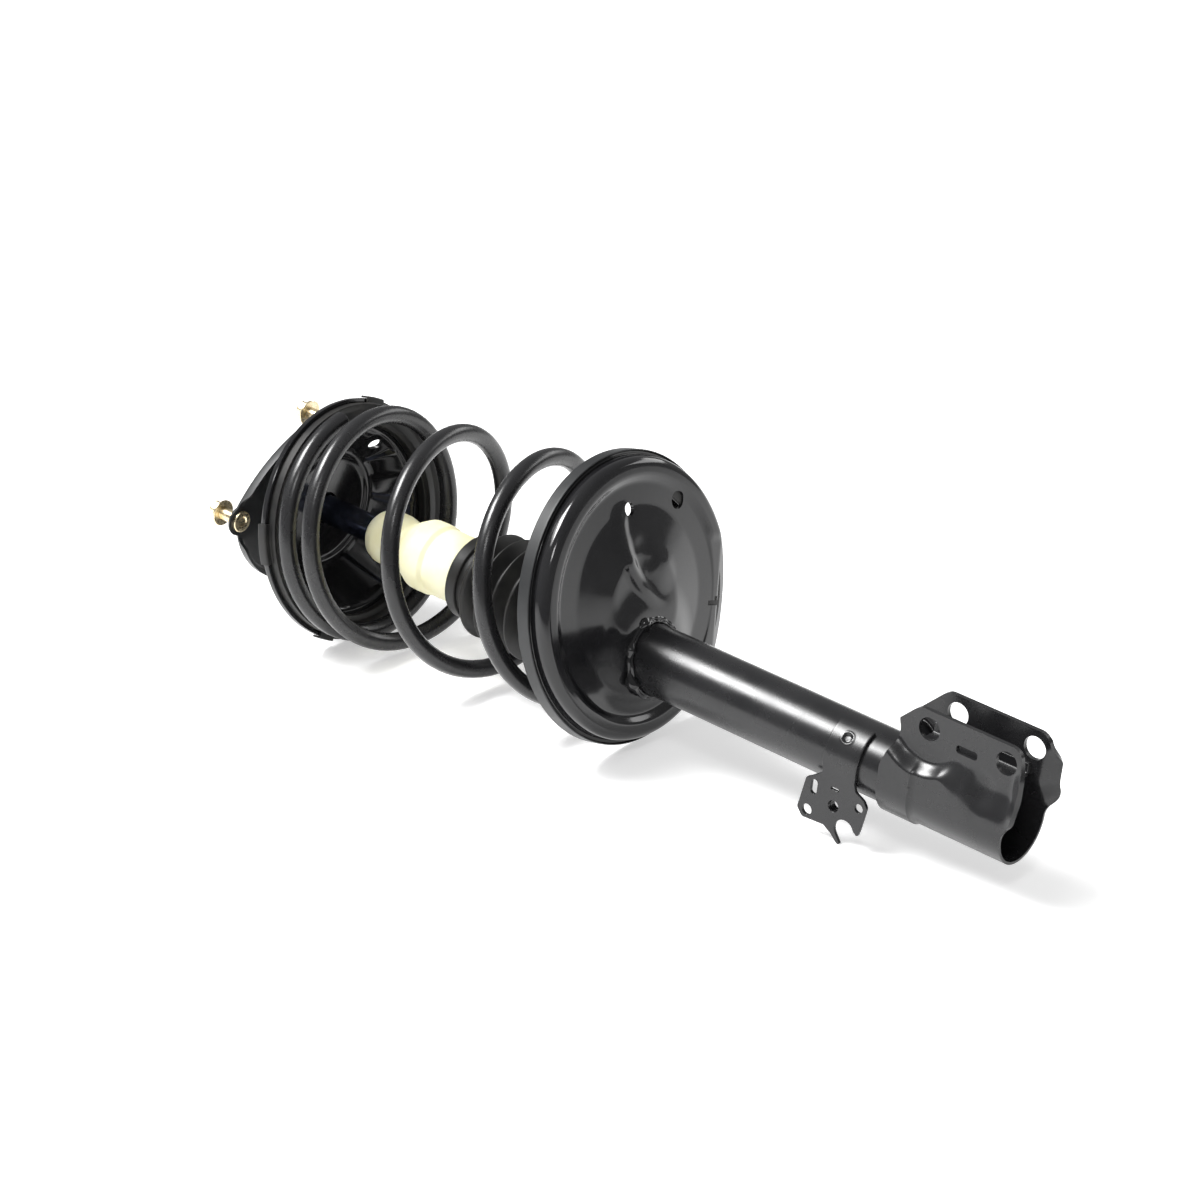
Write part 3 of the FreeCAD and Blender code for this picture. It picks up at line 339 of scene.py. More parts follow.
def relief(tree, shader, source, distance, strength=1.0, under=None):
    node = tree.nodes.new("ShaderNodeBump")
    node.inputs["Distance"].default_value = distance * MM
    node.inputs["Strength"].default_value = strength
    tree.links.new(source, node.inputs["Height"])
    if under:
        tree.links.new(under, node.inputs["Normal"])
    tree.links.new(node.outputs["Normal"], shader.inputs["Normal"])
    return node.outputs["Normal"]


def gloss_paint(name, dark, light, rough, peel=0.02):
    """Black lacquer: cloudy colour, uneven gloss and a faint orange peel."""
    material, tree, shader = node_material(name)
    clouds = noise_at(tree, 0.02)
    tree.links.new(tints(tree, clouds, (0.35, dark), (0.65, light)), shader.inputs["Base Color"])
    patches = noise_at(tree, 0.05, detail=5.0)
    tree.links.new(spread(tree, patches, rough[0], rough[1]), shader.inputs["Roughness"])
    long_peel = noise_at(tree, 0.12, detail=1.0)
    first = relief(tree, shader, long_peel, peel * 4, 0.14)
    fine = noise_at(tree, 0.9, detail=2.0)
    relief(tree, shader, fine, peel, 0.2, first)
    return material


def metal(name, low, high, rough, scratch=(1.0, 1.0, 1.0), wear=0.02):
    """Bare or plated metal with cloudy colour and fine lines."""
    material, tree, shader = node_material(name)
    shader.inputs["Metallic"].default_value = 1.0
    clouds = noise_at(tree, 0.15, detail=4.0)
    tree.links.new(tints(tree, clouds, (0.3, low), (0.7, high)), shader.inputs["Base Color"])
    lines = noise_at(tree, 0.6, detail=4.0, stretch=scratch)
    tree.links.new(spread(tree, lines, rough[0], rough[1]), shader.inputs["Roughness"])
    relief(tree, shader, lines, wear, 0.6)
    return material


def rubber(name, dark, light, rough):
    material, tree, shader = node_material(name)
    dust = noise_at(tree, 0.06, detail=6.0)
    tree.links.new(tints(tree, dust, (0.4, dark), (0.75, light)), shader.inputs["Base Color"])
    tree.links.new(spread(tree, dust, rough[0], rough[1]), shader.inputs["Roughness"])
    shader.inputs["Specular IOR Level"].default_value = 0.35
    grain = noise_at(tree, 1.5, detail=3.0)
    relief(tree, shader, grain, 0.05, 0.6)
    return material


def foam(name):
    """Cream microcellular foam: soft light in it, fine pores and a few dull patches."""
    material, tree, shader = node_material(name)
    clouds = noise_at(tree, 0.035, detail=5.0)
    stops = ((0.3, (0.74, 0.70, 0.43)), (0.55, (0.80, 0.77, 0.53)), (0.8, (0.84, 0.82, 0.62)))
    tree.links.new(tints(tree, clouds, *stops), shader.inputs["Base Color"])
    tree.links.new(spread(tree, clouds, 0.5, 0.62), shader.inputs["Roughness"])
    shader.inputs["Subsurface Weight"].default_value = 0.25
    shader.inputs["Subsurface Radius"].default_value = (0.006, 0.005, 0.003)
    shader.inputs["Specular IOR Level"].default_value = 0.3
    pores = noise_at(tree, 1.1, detail=4.0)
    relief(tree, shader, pores, 0.12, 0.5)
    return material


def plastic(name, low, high, rough=0.45):
    material, tree, shader = node_material(name)
    clouds = noise_at(tree, 0.1)
    tree.links.new(tints(tree, clouds, (0.3, low), (0.7, high)), shader.inputs["Base Color"])
    tree.links.new(spread(tree, clouds, rough, rough + 0.12), shader.inputs["Roughness"])
    grain = noise_at(tree, 1.2)
    relief(tree, shader, grain, 0.04, 0.5)
    return material


PAINT = {
    "black_paint": gloss_paint("gloss_black", (0.008, 0.008, 0.009), (0.013, 0.013, 0.014), (0.07, 0.14)),
    "spring_paint": gloss_paint("satin_black", (0.011, 0.011, 0.012), (0.017, 0.017, 0.018),
                                (0.22, 0.31), 0.03),
    "zinc_yellow": metal("yellow_zinc", (0.74, 0.61, 0.38), (0.90, 0.79, 0.56), (0.22, 0.42)),
    "plain_steel": metal("plain_steel", (0.42, 0.42, 0.43), (0.56, 0.56, 0.56), (0.28, 0.45)),
    "bearing_steel": metal("bearing_steel", (0.55, 0.55, 0.56), (0.68, 0.68, 0.68), (0.12, 0.22)),
    "rod_chrome": metal("dark_rod", (0.20, 0.23, 0.34), (0.27, 0.31, 0.44),
                        (0.16, 0.26), (0.1, 6.0, 6.0), 0.008),
    "black_rubber": rubber("black_rubber", (0.010, 0.010, 0.010), (0.022, 0.021, 0.019), (0.38, 0.55)),
    "stop_foam": foam("cream_foam"),
    "cage_plastic": plastic("cage_plastic", (0.66, 0.62, 0.50), (0.78, 0.74, 0.64)),
    "guide_iron": metal("sintered_iron", (0.20, 0.20, 0.21), (0.30, 0.30, 0.30), (0.45, 0.65)),
    "bush_bronze": metal("bush_bronze", (0.50, 0.38, 0.18), (0.66, 0.52, 0.28), (0.3, 0.45)),
    "band_plastic": plastic("band_plastic", (0.05, 0.05, 0.05), (0.09, 0.09, 0.09)),
}
SKIRT_PAINT = gloss_paint("satin_skirt", (0.010, 0.011, 0.012), (0.017, 0.018, 0.019), (0.36, 0.46), 0.03)
TUBE_PAINT = gloss_paint("tube_black", (0.010, 0.010, 0.011), (0.016, 0.016, 0.017), (0.22, 0.30))


# Top mount

STUD_DEGS = [FIRST_STUD_DEG + 120 * i for i in range(3)]
EDGE_REACH = (68.0, 60.0, 52.0)
SKIRT_DEPTH = 9.0
SHEET_EDGE = 3.6
RIM_OFFSET = 0.5
TO_DEPTH = 1.01


def turned_point(reach, deg):
    return Vector((reach * math.sin(turn(deg)), reach * math.cos(turn(deg))))


def through(a, b, c, count):
    """Points of the arc from a by way of b to c, leaving out both ends."""
    ab = b - a
    bc = c - b
    across_ab = Vector((-ab.y, ab.x))
    share = ((c - a) / 2).dot(bc) / across_ab.dot(bc)
    middle = (a + b) / 2 + across_ab * share
    sweep = (a - middle).angle_signed(c - middle)
    points = []
    for k in range(1, count):
        spoke = a - middle
        spoke.rotate(Matrix.Rotation(-sweep * k / count, 2))
        points.append(middle + spoke)
    return points


def plate_edge():
    """Outline of the mount plate as (angle in degrees, radius), one turn."""
    points = []
    for i, deg in enumerate(STUD_DEGS):
        centre = turned_point(STUD_CIRCLE_R, deg)
        lobe = [centre + turned_point(LOBE_R, deg - 75 + 150 * k / 14) for k in range(15)]
        following = turned_point(STUD_CIRCLE_R, deg + 120) + turned_point(LOBE_R, deg + 45)
        points += lobe
        points += through(lobe[-1], turned_point(EDGE_REACH[i], deg + 60), following, 34)
    return [(math.degrees(math.atan2(p.x, p.y)), p.length) for p in points]


def mount_plate():
    """Pressed plate with three lobes, a turned-down skirt between them and the rubber's cup."""
    edge = plate_edge()
    angles = [turn(deg) for deg, radius in edge]
    rims = [radius for deg, radius in edge]
    depths = []
    for deg, radius in edge:
        away = min(abs((deg - stud + 180) % 360 - 180) for stud in STUD_DEGS)
        depths.append(SHEET_EDGE + (SKIRT_DEPTH - SHEET_EDGE) * smooth((away - 13) / 9))
    # Radii under RIM_OFFSET are counted from the plate's edge, and TO_DEPTH stands for the edge's own depth
    profile = [(0.0, 34.6), (0.0, 44.0), (0.0, -4.2), (0.35, -2.2), (1.5, -0.6), (3.2, 0.0), (TO_DEPTH, 0.0),
               (TO_DEPTH, -2.5), (5.6, -2.7), (4.2, -3.6), (3.5, -5.4), (3.5, 40.0), (4.1, 38.0),
               (5.5, 37.0), (17.2, 37.0), (19.2, 36.2), (20.0, 34.2), (20.0, 27.9), (19.7, 27.5),
               (17.3, 27.5), (17.0, 27.9), (17.0, 32.4), (16.4, 33.6), (15.2, 34.0), (1.0, 34.0),
               (0.3, 34.15)]
    verts = []
    faces = []
    n = len(angles)
    m = len(profile)
    for h, r in profile:
        for angle, rim, depth in zip(angles, rims, depths):
            radius = r if r > RIM_OFFSET else rim + r
            x = depth if h == TO_DEPTH else min(h, depth)
            verts.append((x, -radius * math.sin(angle), radius * math.cos(angle)))
    for i in range(m):
        for j in range(n):
            k = (i + 1) % m
            l = (j + 1) % n
            faces.append((i * n + j, i * n + l, k * n + l, k * n + j))
    plate = mesh_object("top_mount_plate", verts, faces)
    soften(plate, 0.3)
    return dress(plate, SKIRT_PAINT, "black_paint", "top_mount", "mount_plate")


def moved(part, dy, dz):
    verts, faces = part
    return [(x, y + dy, z + dz) for x, y, z in verts], faces


def at_studs(part):
    places = [(-STUD_CIRCLE_R * math.sin(turn(d)), STUD_CIRCLE_R * math.cos(turn(d))) for d in STUD_DEGS]
    return joined([moved(part, dy, dz) for dy, dz in places])


def studs():
    """Pressed-in studs: round head, bare shank, and a thread under the nut."""
    profile = [(3.5, 0.0), (3.5, 8.5, 0.3), (6.0, 8.5, 0.9), (6.0, 4.6, 0.5), (5.0, 3.4, 0.4), (5.0, 0.0)]
    head = rounded(profile, 4)
    shank = [(3.6, 0.0), (3.6, 5.0), (-14.4, 5.0), (-15.0, 4.4)]
    ridges = []
    for i in range(6):
        x = -15.2 - 1.5 * i
        ridges += [(x, 4.2), (x - 0.55, 4.75), (x - 0.85, 4.75)]
    tip = [(-24.4, 4.2), (-25.0, 3.4), (-25.0, 0.0)]
    parts = [skin(rings_on(head), circle(48)), skin(rings_on(shank + ridges + tip), circle(48))]
    obj = mesh_object("tower_studs", *at_studs(joined(parts)))
    return dress(obj, PAINT["zinc_yellow"], "zinc_yellow", "top_mount", "mount_studs")


def hex_lift(profile, across_flats, from_x, chamfer):
    """Draws rings beyond from_x in to a hexagon whose corners are turned down towards the end."""
    end = min(h for h, r in profile)

    def lift(i, angle):
        h, r = profile[i]
        if h > from_x or r < 5.2:
            return 0.0, 0.0
        part = (math.degrees(angle) % 60) - 30
        flat = across_flats / 2 / math.cos(turn(part))
        corner = across_flats / math.sqrt(3) - 0.35
        turned = corner - max(0.0, chamfer - (h - end)) * 1.5
        return 0.0, min(flat, turned, r) - r
    return lift


def stud_nuts():
    """Flange nuts, flange towards the plate."""
    profile = [(-15.3, 4.9), (-15.3, 10.0), (-15.7, 10.45), (-16.5, 10.5), (-17.1, 10.2), (-18.4, 8.6),
               (-19.2, 8.1), (-19.6, 8.0), (-22.0, 8.0), (-24.2, 8.0), (-24.6, 8.0), (-25.0, 8.0),
               (-25.35, 8.0), (-25.5, 7.0), (-25.5, 5.6), (-25.1, 4.9), (-24.0, 4.9)]
    part = skin(rings_on(profile), circle(96), hex_lift(profile, 14.0, -18.3, 1.1))
    obj = mesh_object("flange_nuts", *at_studs(part), sharp=32)
    return dress(obj, PAINT["zinc_yellow"], "zinc_yellow", "top_mount", "stud_nuts")


def rod_top_nut():
    profile = [(0.5, 6.0), (0.5, 9.3), (0.2, 10.6), (-0.3, 10.97), (-4.0, 10.97), (-8.4, 10.97),
               (-8.9, 10.97), (-9.3, 10.9), (-9.5, 9.4), (-9.5, 6.8), (-9.0, 6.0)]
    part = skin(rings_on(profile), circle(96), hex_lift(profile, 19.0, 0.3, 1.2))
    obj = mesh_object("top_nut", *part, sharp=32)
    return dress(obj, PAINT["zinc_yellow"], "zinc_yellow", "top_mount", "rod_nut")


def top_washer():
    profile = rounded([(3.0, 6.0), (3.0, 25.0, 0.8), (0.5, 25.0, 0.8), (0.5, 6.0)], 4)
    obj = mesh_object("rebound_washer", *skin(rings_on(profile), circle(96)))
    return dress(obj, PAINT["plain_steel"], "plain_steel", "top_mount", "top_washer")


def mount_rubber():
    profile = rounded([(3.5, 20.0), (5.2, 22.0, 2.0), (6.4, 27.0, 3.0), (4.6, 34.0), (17.0, 34.0),
                       (17.0, 27.5, 1.0), (15.6, 24.0, 2.0), (17.0, 20.0)], 5)
    obj = mesh_object("mount_rubber_ring", *skin(rings_on(profile), circle(96)))
    return dress(obj, PAINT["black_rubber"], "black_rubber", "top_mount", "mount_rubber")


def piston_rod():
    """Rod from its thread in the mount to the piston."""
    thread = []
    for i in range(9):
        x = -12.2 + 1.5 * i
        thread += [(x, THREAD_R), (x + 0.5, 5.45), (x + 1.0, 5.45)]
    outline = [(-12.5, 0.0), (-12.5, 5.2)] + thread + [(1.6, THREAD_R), (20.0, THREAD_R), (20.0, 10.2),
               (20.8, ROD_R), (84.0, ROD_R), (200.0, ROD_R), (341.4, ROD_R), (342.0, 10.4),
               (342.0, THREAD_R), (376.0, THREAD_R), (377.0, 5.2), (377.0, 0.0)]
    obj = mesh_object("damper_rod", *skin(rings_on(outline), circle(72)))
    return dress(obj, PAINT["rod_chrome"], "rod_chrome", "top_mount", "piston_rod")


# Upper spring seat

UPPER_CENTRE = (UPPER_X, 0.0)


def between(a, b, count):
    """Rings evenly between two rings, leaving out the last."""
    return [tuple(p + (q - p) * k / count for p, q in zip(a, b)) for k in range(count)]


def ring_line(rings, step):
    """Rings with more put between those that lie far apart."""
    result = []
    for i, here in enumerate(rings):
        following = rings[(i + 1) % len(rings)]
        gap = math.hypot(following[0] - here[0], following[3] - here[3])
        result += between(here, following, max(1, round(gap / step)))
    return result


def pan_relief(angle, r):
    """Pressed pockets in the wall and floor ring of the upper seat, as a push towards the mount."""
    pockets = 0.5 + 0.5 * math.tanh(3.2 * math.cos(9 * angle + 0.6))
    window = smooth((r - 49.0) / 3.0) * (1 - smooth((r - 68.0) / 2.5))
    rings = 0.7 * bump(r - 45.0, 2.6)
    return -2.6 * pockets * window + rings


def upper_seat():
    """Dished pan with a tilted ledge for the spring, a rolled lip and pressed pockets."""
    hub = [(SEAT_HUB_X, 0.0, 0.0, r) for r in (13.0, 20.0, 26.0, 33.0, 40.0)]
    floor_out = [(SEAT_HUB_X + 1.0, 0, 0, 43.0), (SEAT_HUB_X + 3.0, 0, 0, 54.0)]
    ledge = rings_on([(-0.2, 70.2), (0.0, 71.4), (0.0, 93.0), (0.5, 94.2), (1.4, UPPER_RIM_R),
                      (4.6, UPPER_RIM_R), (5.0, 94.1), (5.0, 91.9), (4.6, 91.5), (3.6, 91.2), (3.0, 90.4),
                      (3.0, 71.6), (2.0, 69.0)], UPPER_CENTRE, UPPER_TILT)
    floor_in = [(SEAT_HUB_X + 6.4, 0, 0, 51.6), (SEAT_HUB_X + 5.6, 0, 0, 48.6),
                (SEAT_HUB_X + 4.0, 0, 0, 43.4), (SEAT_HUB_X + 3.2, 0, 0, 40.0)]
    hub_in = [(SEAT_HUB_X + 3.0, 0.0, 0.0, r) for r in (33.0, 26.0, 20.0, 13.0)]
    rings = ring_line(hub + floor_out + ledge + floor_in + hub_in, 1.6)

    def lift(i, angle):
        return pan_relief(angle, rings[i][3]), 0.0
    obj = mesh_object("spring_seat_upper", *skin(rings, circle(288), lift))
    drills = []
    for deg in (-42.0, 78.0):
        centre = (62.5 * math.sin(turn(deg)), 62.5 * math.cos(turn(deg)))
        drills.append(prism([(-p, q) for p, q in round_outline(centre, 4.6)], along(20.0, UPPER_X)))
    cut_out(obj, mesh_object("drills", *joined(drills)))
    soften(obj, 0.3)
    return dress(obj, PAINT["black_paint"], "black_paint", "upper_seat", "upper_spring_seat")


def upper_insulator():
    """Rubber ring under the first coil, with tabs over the seat's lip."""
    ring = rounded([(3.0, 75.0, 1.0), (10.5, 75.0, 1.5), (12.2, 79.0, 2.5), (11.2, 86.0, 4.0),
                    (12.2, 90.0, 1.0), (12.2, 91.2, 1.0), (3.0, 91.2)], 4)
    parts = [skin(rings_on(ring, UPPER_CENTRE, UPPER_TILT), circle(180))]
    hook = rounded([(10.0, 86.0), (10.0, 91.0), (7.15, 91.2, 0.8), (7.15, 96.3, 1.5), (-1.0, 96.2, 0.7),
                    (-1.0, 94.7, 0.6), (5.15, 94.7, 0.3), (5.15, 91.8), (5.0, 88.0), (5.0, 86.0)], 4)
    for deg, width in zip((87.0, 153.0, 218.0, -22.0), (32.0, 15.0, 20.0, 18.0)):
        half = math.degrees(width / 2 / 95.0)
        rings = rings_on(hook, UPPER_CENTRE, UPPER_TILT)
        parts.append(skin(rings, arc(deg - half, deg + half, 12), wrap=False))
    obj = mesh_object("spring_pad_upper", *joined(parts))
    soften(obj, 0.4)
    return dress(obj, PAINT["black_rubber"], "black_rubber", "upper_seat", "upper_spring_insulator")


# Coil spring

WIRE_R = 7.0
COIL_R = 86.3
TURNS = 4.6
END_PITCH = 5.8
PITCH = 91.0
START_DEG = 9.7


def smooth_sum(x):
    y = min(max(x, 0.0), 1.0)
    return y ** 3 - y ** 4 / 2 + max(x - 1, 0.0)


def coil_advance(t):
    opened = 1.61 * smooth_sum((t - 0.29) / 1.61)
    closed = 0.79 * smooth_sum((t - 3.45) / 0.79)
    return END_PITCH * t + (PITCH - END_PITCH) * (opened - closed)


def coil_point(t):
    """Wire centre after t turns, along a line that leans from the upper seat to the lower one."""
    upper = rings_on([(19.5, 0)], UPPER_CENTRE, UPPER_TILT)[0]
    lower = rings_on([(-1.5, 0)], (LOWER_X, LOWER_Z), LOWER_TILT)[0]
    share = coil_advance(t) / coil_advance(TURNS)
    x = upper[0] + (lower[0] - upper[0]) * share
    z = upper[1] + (lower[1] - upper[1]) * share
    lean = math.degrees(math.atan2(lower[1] - upper[1], lower[0] - upper[0]))
    tilt = UPPER_TILT + (lean - UPPER_TILT) * smooth((t - 0.3) / 1.2)
    tilt += (LOWER_TILT - lean) * smooth((t - 3.0) / 1.2)
    angle = turn(START_DEG) + 2 * math.pi * t
    side = COIL_R * math.cos(angle)
    return x - side * math.sin(turn(tilt)), -COIL_R * math.sin(angle), z + side * math.cos(turn(tilt))


def wire_nodes(material):
    """Node group that turns a line of edges into a round wire."""
    group = bpy.data.node_groups.new("wire", "GeometryNodeTree")
    group.interface.new_socket("Geometry", in_out="INPUT", socket_type="NodeSocketGeometry")
    group.interface.new_socket("Geometry", in_out="OUTPUT", socket_type="NodeSocketGeometry")
    make = group.nodes.new
    start = make("NodeGroupInput")
    end = make("NodeGroupOutput")
    curve = make("GeometryNodeMeshToCurve")
    sweep = make("GeometryNodeCurveToMesh")
    ring = make("GeometryNodeCurvePrimitiveCircle")
    finish = make("GeometryNodeSetMaterial")
    shade = make("GeometryNodeSetShadeSmooth")
    ring.inputs["Resolution"].default_value = 32
    ring.inputs["Radius"].default_value = WIRE_R * MM
    sweep.inputs["Fill Caps"].default_value = True
    finish.inputs["Material"].default_value = material
    link = group.links.new
    link(start.outputs[0], curve.inputs["Mesh"])
    link(curve.outputs["Curve"], sweep.inputs["Curve"])
    link(ring.outputs["Curve"], sweep.inputs["Profile Curve"])
    link(sweep.outputs["Mesh"], shade.inputs["Geometry"])
    link(shade.outputs["Geometry"], finish.inputs["Geometry"])
    link(finish.outputs["Geometry"], end.inputs[0])
    return group


def coil_spring():
    steps = round(TURNS * 72)
    points = [in_row(coil_point(TURNS * i / steps)) for i in range(steps + 1)]
    data = bpy.data.meshes.new("coil")
    data.from_pydata(points, [(i, i + 1) for i in range(steps)], [])
    obj = bpy.data.objects.new("main_spring", data)
    bpy.context.scene.collection.objects.link(obj)
    obj.modifiers.new("wire", "NODES").node_group = wire_nodes(PAINT["spring_paint"])
    soften(obj, 0.8, 2, 60)
    data.materials.append(PAINT["spring_paint"])
    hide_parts("coil_spring")
    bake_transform(obj)
    return obj


# Lower spring seat

LOWER_CENTRE = (LOWER_X, LOWER_Z)
SHEET = 3.0


def seat_xy(deg, r):
    return Vector((r * math.sin(turn(deg)), r * math.cos(turn(deg))))


FACET_DEG = -106.0
FACET_FROM = 72.0
FACET_BEND = 91.0
FACET_HALF = 42.0
FACET_LEVEL = 11.3
FACET_SLOPES = (0.6, 0.09, 0.26)

# Places on the seat's face as (towards the near side, up)
HUB = Vector((0.0, -39.0))
DIMPLE = Vector((-3.0, 34.0))
SWELL = Vector((-22.0, 15.0))
CREST_TOP = Vector((15.0, 47.0))
CREST_CURVE = 110.0


def lower_relief(angle, r):
    """Pressed forms of the lower seat's face, as a push towards the knuckle."""
    here = Vector((r * math.sin(angle), r * math.cos(angle)))
    crest = CREST_TOP.x - (here.y - CREST_TOP.y) ** 2 / CREST_CURVE
    ends = smooth((here.y + 10.0) / 22.0) * (1 - smooth((here.y - 60.0) / 16.0))
    push = 2.6 * ends * bump(here.x - crest, 11.0)
    push -= 1.4 * bump((here - DIMPLE).length, 20.0)
    push += 1.2 * bump((here - SWELL).length, 18.0)
    hub = (here - HUB).length
    return push + 3.2 * (1 - smooth((hub - 27.0) / 30.0))


def facet(angle, r, h, under):
    """Push away from the knuckle, down onto the two flats at the rim's far side."""
    reach = r * math.cos(angle - turn(FACET_DEG))
    side = r * math.sin(angle - turn(FACET_DEG))
    if reach < 0:
        return 0.0
    window = 1 - smooth((abs(side) - FACET_HALF) / 9.0)
    rise, fall, bend = FACET_SLOPES
    level = FACET_LEVEL - fall * (reach - FACET_FROM) - bend * max(0.0, reach - FACET_BEND) - under
    level += rise * max(0.0, FACET_FROM - reach)
    return window * (least(h, level, 0.6) - h)


def lower_seat():
    """Deep pan round the lower coil: skirt, groove, rounded channel and a relieved face."""
    outer = dense(rounded([(17.0, 0.0), (17.0, 34.0, 30.0), (10.6, 68.0, 30.0), (9.9, 85.5, 5.0),
                           (13.0, 91.0, 6.0), (12.3, 103.5, 8.0), (-1.4, 103.9, 0.8), (-1.5, 106.6, 0.5),
                           (0.2, 107.0, 0.4), (0.0, LOWER_RIM_R, 0.6),
                           (-10.0, LOWER_RIM_R, 0.7)], 8, closed=False), 1.6, False)
    inner = dense(rounded([(-10.0, 105.2, 0.7), (-4.4, 105.2, 1.0), (-3.6, 102.6, 1.0), (9.2, 100.8, 5.0),
                           (9.6, 92.6, 5.0), (6.8, 86.0, 6.0), (7.6, 68.0, 30.0), (14.0, 34.0, 30.0),
                           (14.0, 0.0)], 8, closed=False), 1.6, False)
    profile = outer + inner
    rings = rings_on(profile, LOWER_CENTRE, LOWER_TILT)

    def lift(i, angle):
        h, r = profile[i]
        face = lower_relief(angle, r) * (1 - smooth((r - 74.0) / 10.0))
        return face + facet(angle, r, h + face, SHEET if i >= len(outer) else 0.0), 0.0
    obj = mesh_object("spring_seat_lower", *skin(rings, circle(360), lift, closed=False))
    place = on_seat(LOWER_CENTRE, LOWER_TILT, -20.0, 40.0)
    cutters = [prism(round_outline((p[0], p[1]), w / 2), place)
               for p, w in ((seat_xy(0.5, 67.5), 10.0), (seat_xy(-42.0, 80.8), 13.5))]
    slot = [(-1.8, -6.5), (1.8, -6.5), (1.8, 1.0), (5.0, 1.0),
            (5.0, 4.6), (1.8, 4.6), (1.8, 8.0), (-1.8, 8.0)]
    spin = turn(FACET_DEG)
    middle = seat_xy(FACET_DEG - 2.0, 87.5)
    cutters.append(prism([(middle.x + p * math.cos(spin) + q * math.sin(spin),
                           middle.y - p * math.sin(spin) + q * math.cos(spin)) for p, q in slot], place))
    tube = prism(round_outline((0, 0), COLLAR_R - 0.1, 96), along(LOWER_X - 90, LOWER_X + 90))
    cut_out(obj, mesh_object("cutters", *joined(cutters)))
    cut_out(obj, mesh_object("tube_cutter", *tube))
    soften(obj, 0.35)
    dress(obj, PAINT["black_paint"], "black_paint", "strut_body", "lower_spring_seat")
    paint_skirt(obj)
    return obj


def paint_skirt(obj):
    """The skirt's outer band is duller than the pan."""
    obj.data.materials.append(SKIRT_PAINT)
    base = in_row((LOWER_X, 0, LOWER_Z))
    normal = (LAY @ Vector((math.cos(turn(LOWER_TILT)), 0, math.sin(turn(LOWER_TILT))))).normalized()
    for face in obj.data.polygons:
        offset = face.center - base
        height = offset.dot(normal)
        radius = (offset - normal * height).length
        if radius > 107.2 * MM and height < 0.2 * MM:
            face.material_index = 1


def lower_insulator():
    profile = rounded([(5.8, 80.3, 1.0), (8.8, 80.3, 1.0), (8.8, 96.5, 1.0), (5.8, 96.5, 1.0)], 4)
    obj = mesh_object("spring_pad_lower", *skin(rings_on(profile, LOWER_CENTRE, LOWER_TILT), circle(180)))
    return dress(obj, PAINT["black_rubber"], "black_rubber", "strut_body", "lower_spring_insulator")


def lump(angle, *places):
    return sum(size * bump(math.degrees(math.remainder(angle - turn(deg), 2 * math.pi)), width)
               for deg, width, size in places)


def bead(x_at, radius, thick, angles, lumps):
    """Weld bead round the tube; x_at gives its place along the axis at an angle."""
    verts = []
    faces = []
    n = len(angles)
    m = 10
    for k in range(m):
        spoke = 2 * math.pi * k / m
        for angle in angles:
            ripple = 0.12 * math.sin(11 * angle) + 0.08 * math.sin(23 * angle + 1.0)
            size = thick * (1 + ripple) + lumps(angle)
            r = radius + size * math.sin(spoke)
            x = x_at(angle) + 1.15 * size * math.cos(spoke)
            verts.append((x, -r * math.sin(angle), r * math.cos(angle)))
    for k in range(m):
        for j in range(n):
            faces.append((k * n + j, k * n + (j + 1) % n, (k + 1) % m * n + (j + 1) % n, (k + 1) % m * n + j))
    return verts, faces


def seat_plane(height):
    """Place along the axis where the seat's level of that height meets the collar."""
    t = turn(LOWER_TILT)

    def x_at(angle):
        z = COLLAR_R * math.cos(angle)
        return LOWER_X + (height - (z - LOWER_Z) * math.sin(t)) / math.cos(t)
    return x_at


def seat_collar():
    """Sleeve between the tube and the seat with its weld beads."""
    upper = seat_plane(-12.0)
    lower = seat_plane(20.4)
    profile = [(0, TUBE_R), (0, COLLAR_R - 0.6), (0.02, COLLAR_R),
               (0.98, COLLAR_R), (1, COLLAR_R - 0.8), (1, TUBE_R)]
    verts = []
    faces = []
    angles = circle(120)
    n = len(angles)
    for share, r in profile:
        for angle in angles:
            x = upper(angle) + (lower(angle) - upper(angle)) * share
            verts.append((x, -r * math.sin(angle), r * math.cos(angle)))
    for i in range(len(profile)):
        k = (i + 1) % len(profile)
        for j in range(n):
            l = (j + 1) % n
            faces.append((i * n + j, i * n + l, k * n + l, k * n + j))
    seat_bead = bead(seat_plane(19.2), COLLAR_R, 1.7, circle(240),
                     lambda a: lump(a, (14, 17, 2.9), (60, 13, 2.8), (112, 19, 3.2), (-80, 20, 1.4)))
    tube_bead = bead(lower, TUBE_R + 1.2, 1.3, circle(240), lambda a: lump(a, (15, 25, 0.8), (88, 14, 1.0)))
    obj = mesh_object("seat_sleeve", *joined([(verts, faces), seat_bead, tube_bead]), sharp=50)
    return dress(obj, PAINT["black_paint"], "black_paint", "strut_body", "seat_collar")


# Bump stop and boot

def bump_stop():
    """Foam stop: rounded head, waist, stout body, groove and tail."""
    outline = [(0.0, 11.4, 0.8), (0.0, 14.0, 3.5), (5.0, 19.0, 6.0), (12.0, 21.5, 9.0), (24.0, 21.6, 5.0),
               (30.0, 20.4, 5.0), (38.0, 18.4, 7.0), (44.0, 23.6, 5.0), (52.0, 27.8, 5.0), (58.0, 28.1, 5.0),
               (67.0, 27.9, 3.0), (70.6, 26.0, 1.8), (75.0, 26.6, 2.0), (99.0, 26.5, 1.0), (99.0, 24.0, 0.5),
               (109.5, 24.0, 1.2), (109.5, 11.4, 0.8)]
    profile = [(90.0 + h, r) for h, r in dense(rounded(outline, 8), 3.0)]
    obj = mesh_object("foam_bump_stop", *skin(rings_on(profile), circle(128)), sharp=60)
    return dress(obj, PAINT["stop_foam"], "stop_foam", "bump_stop_body", "bump_stop")


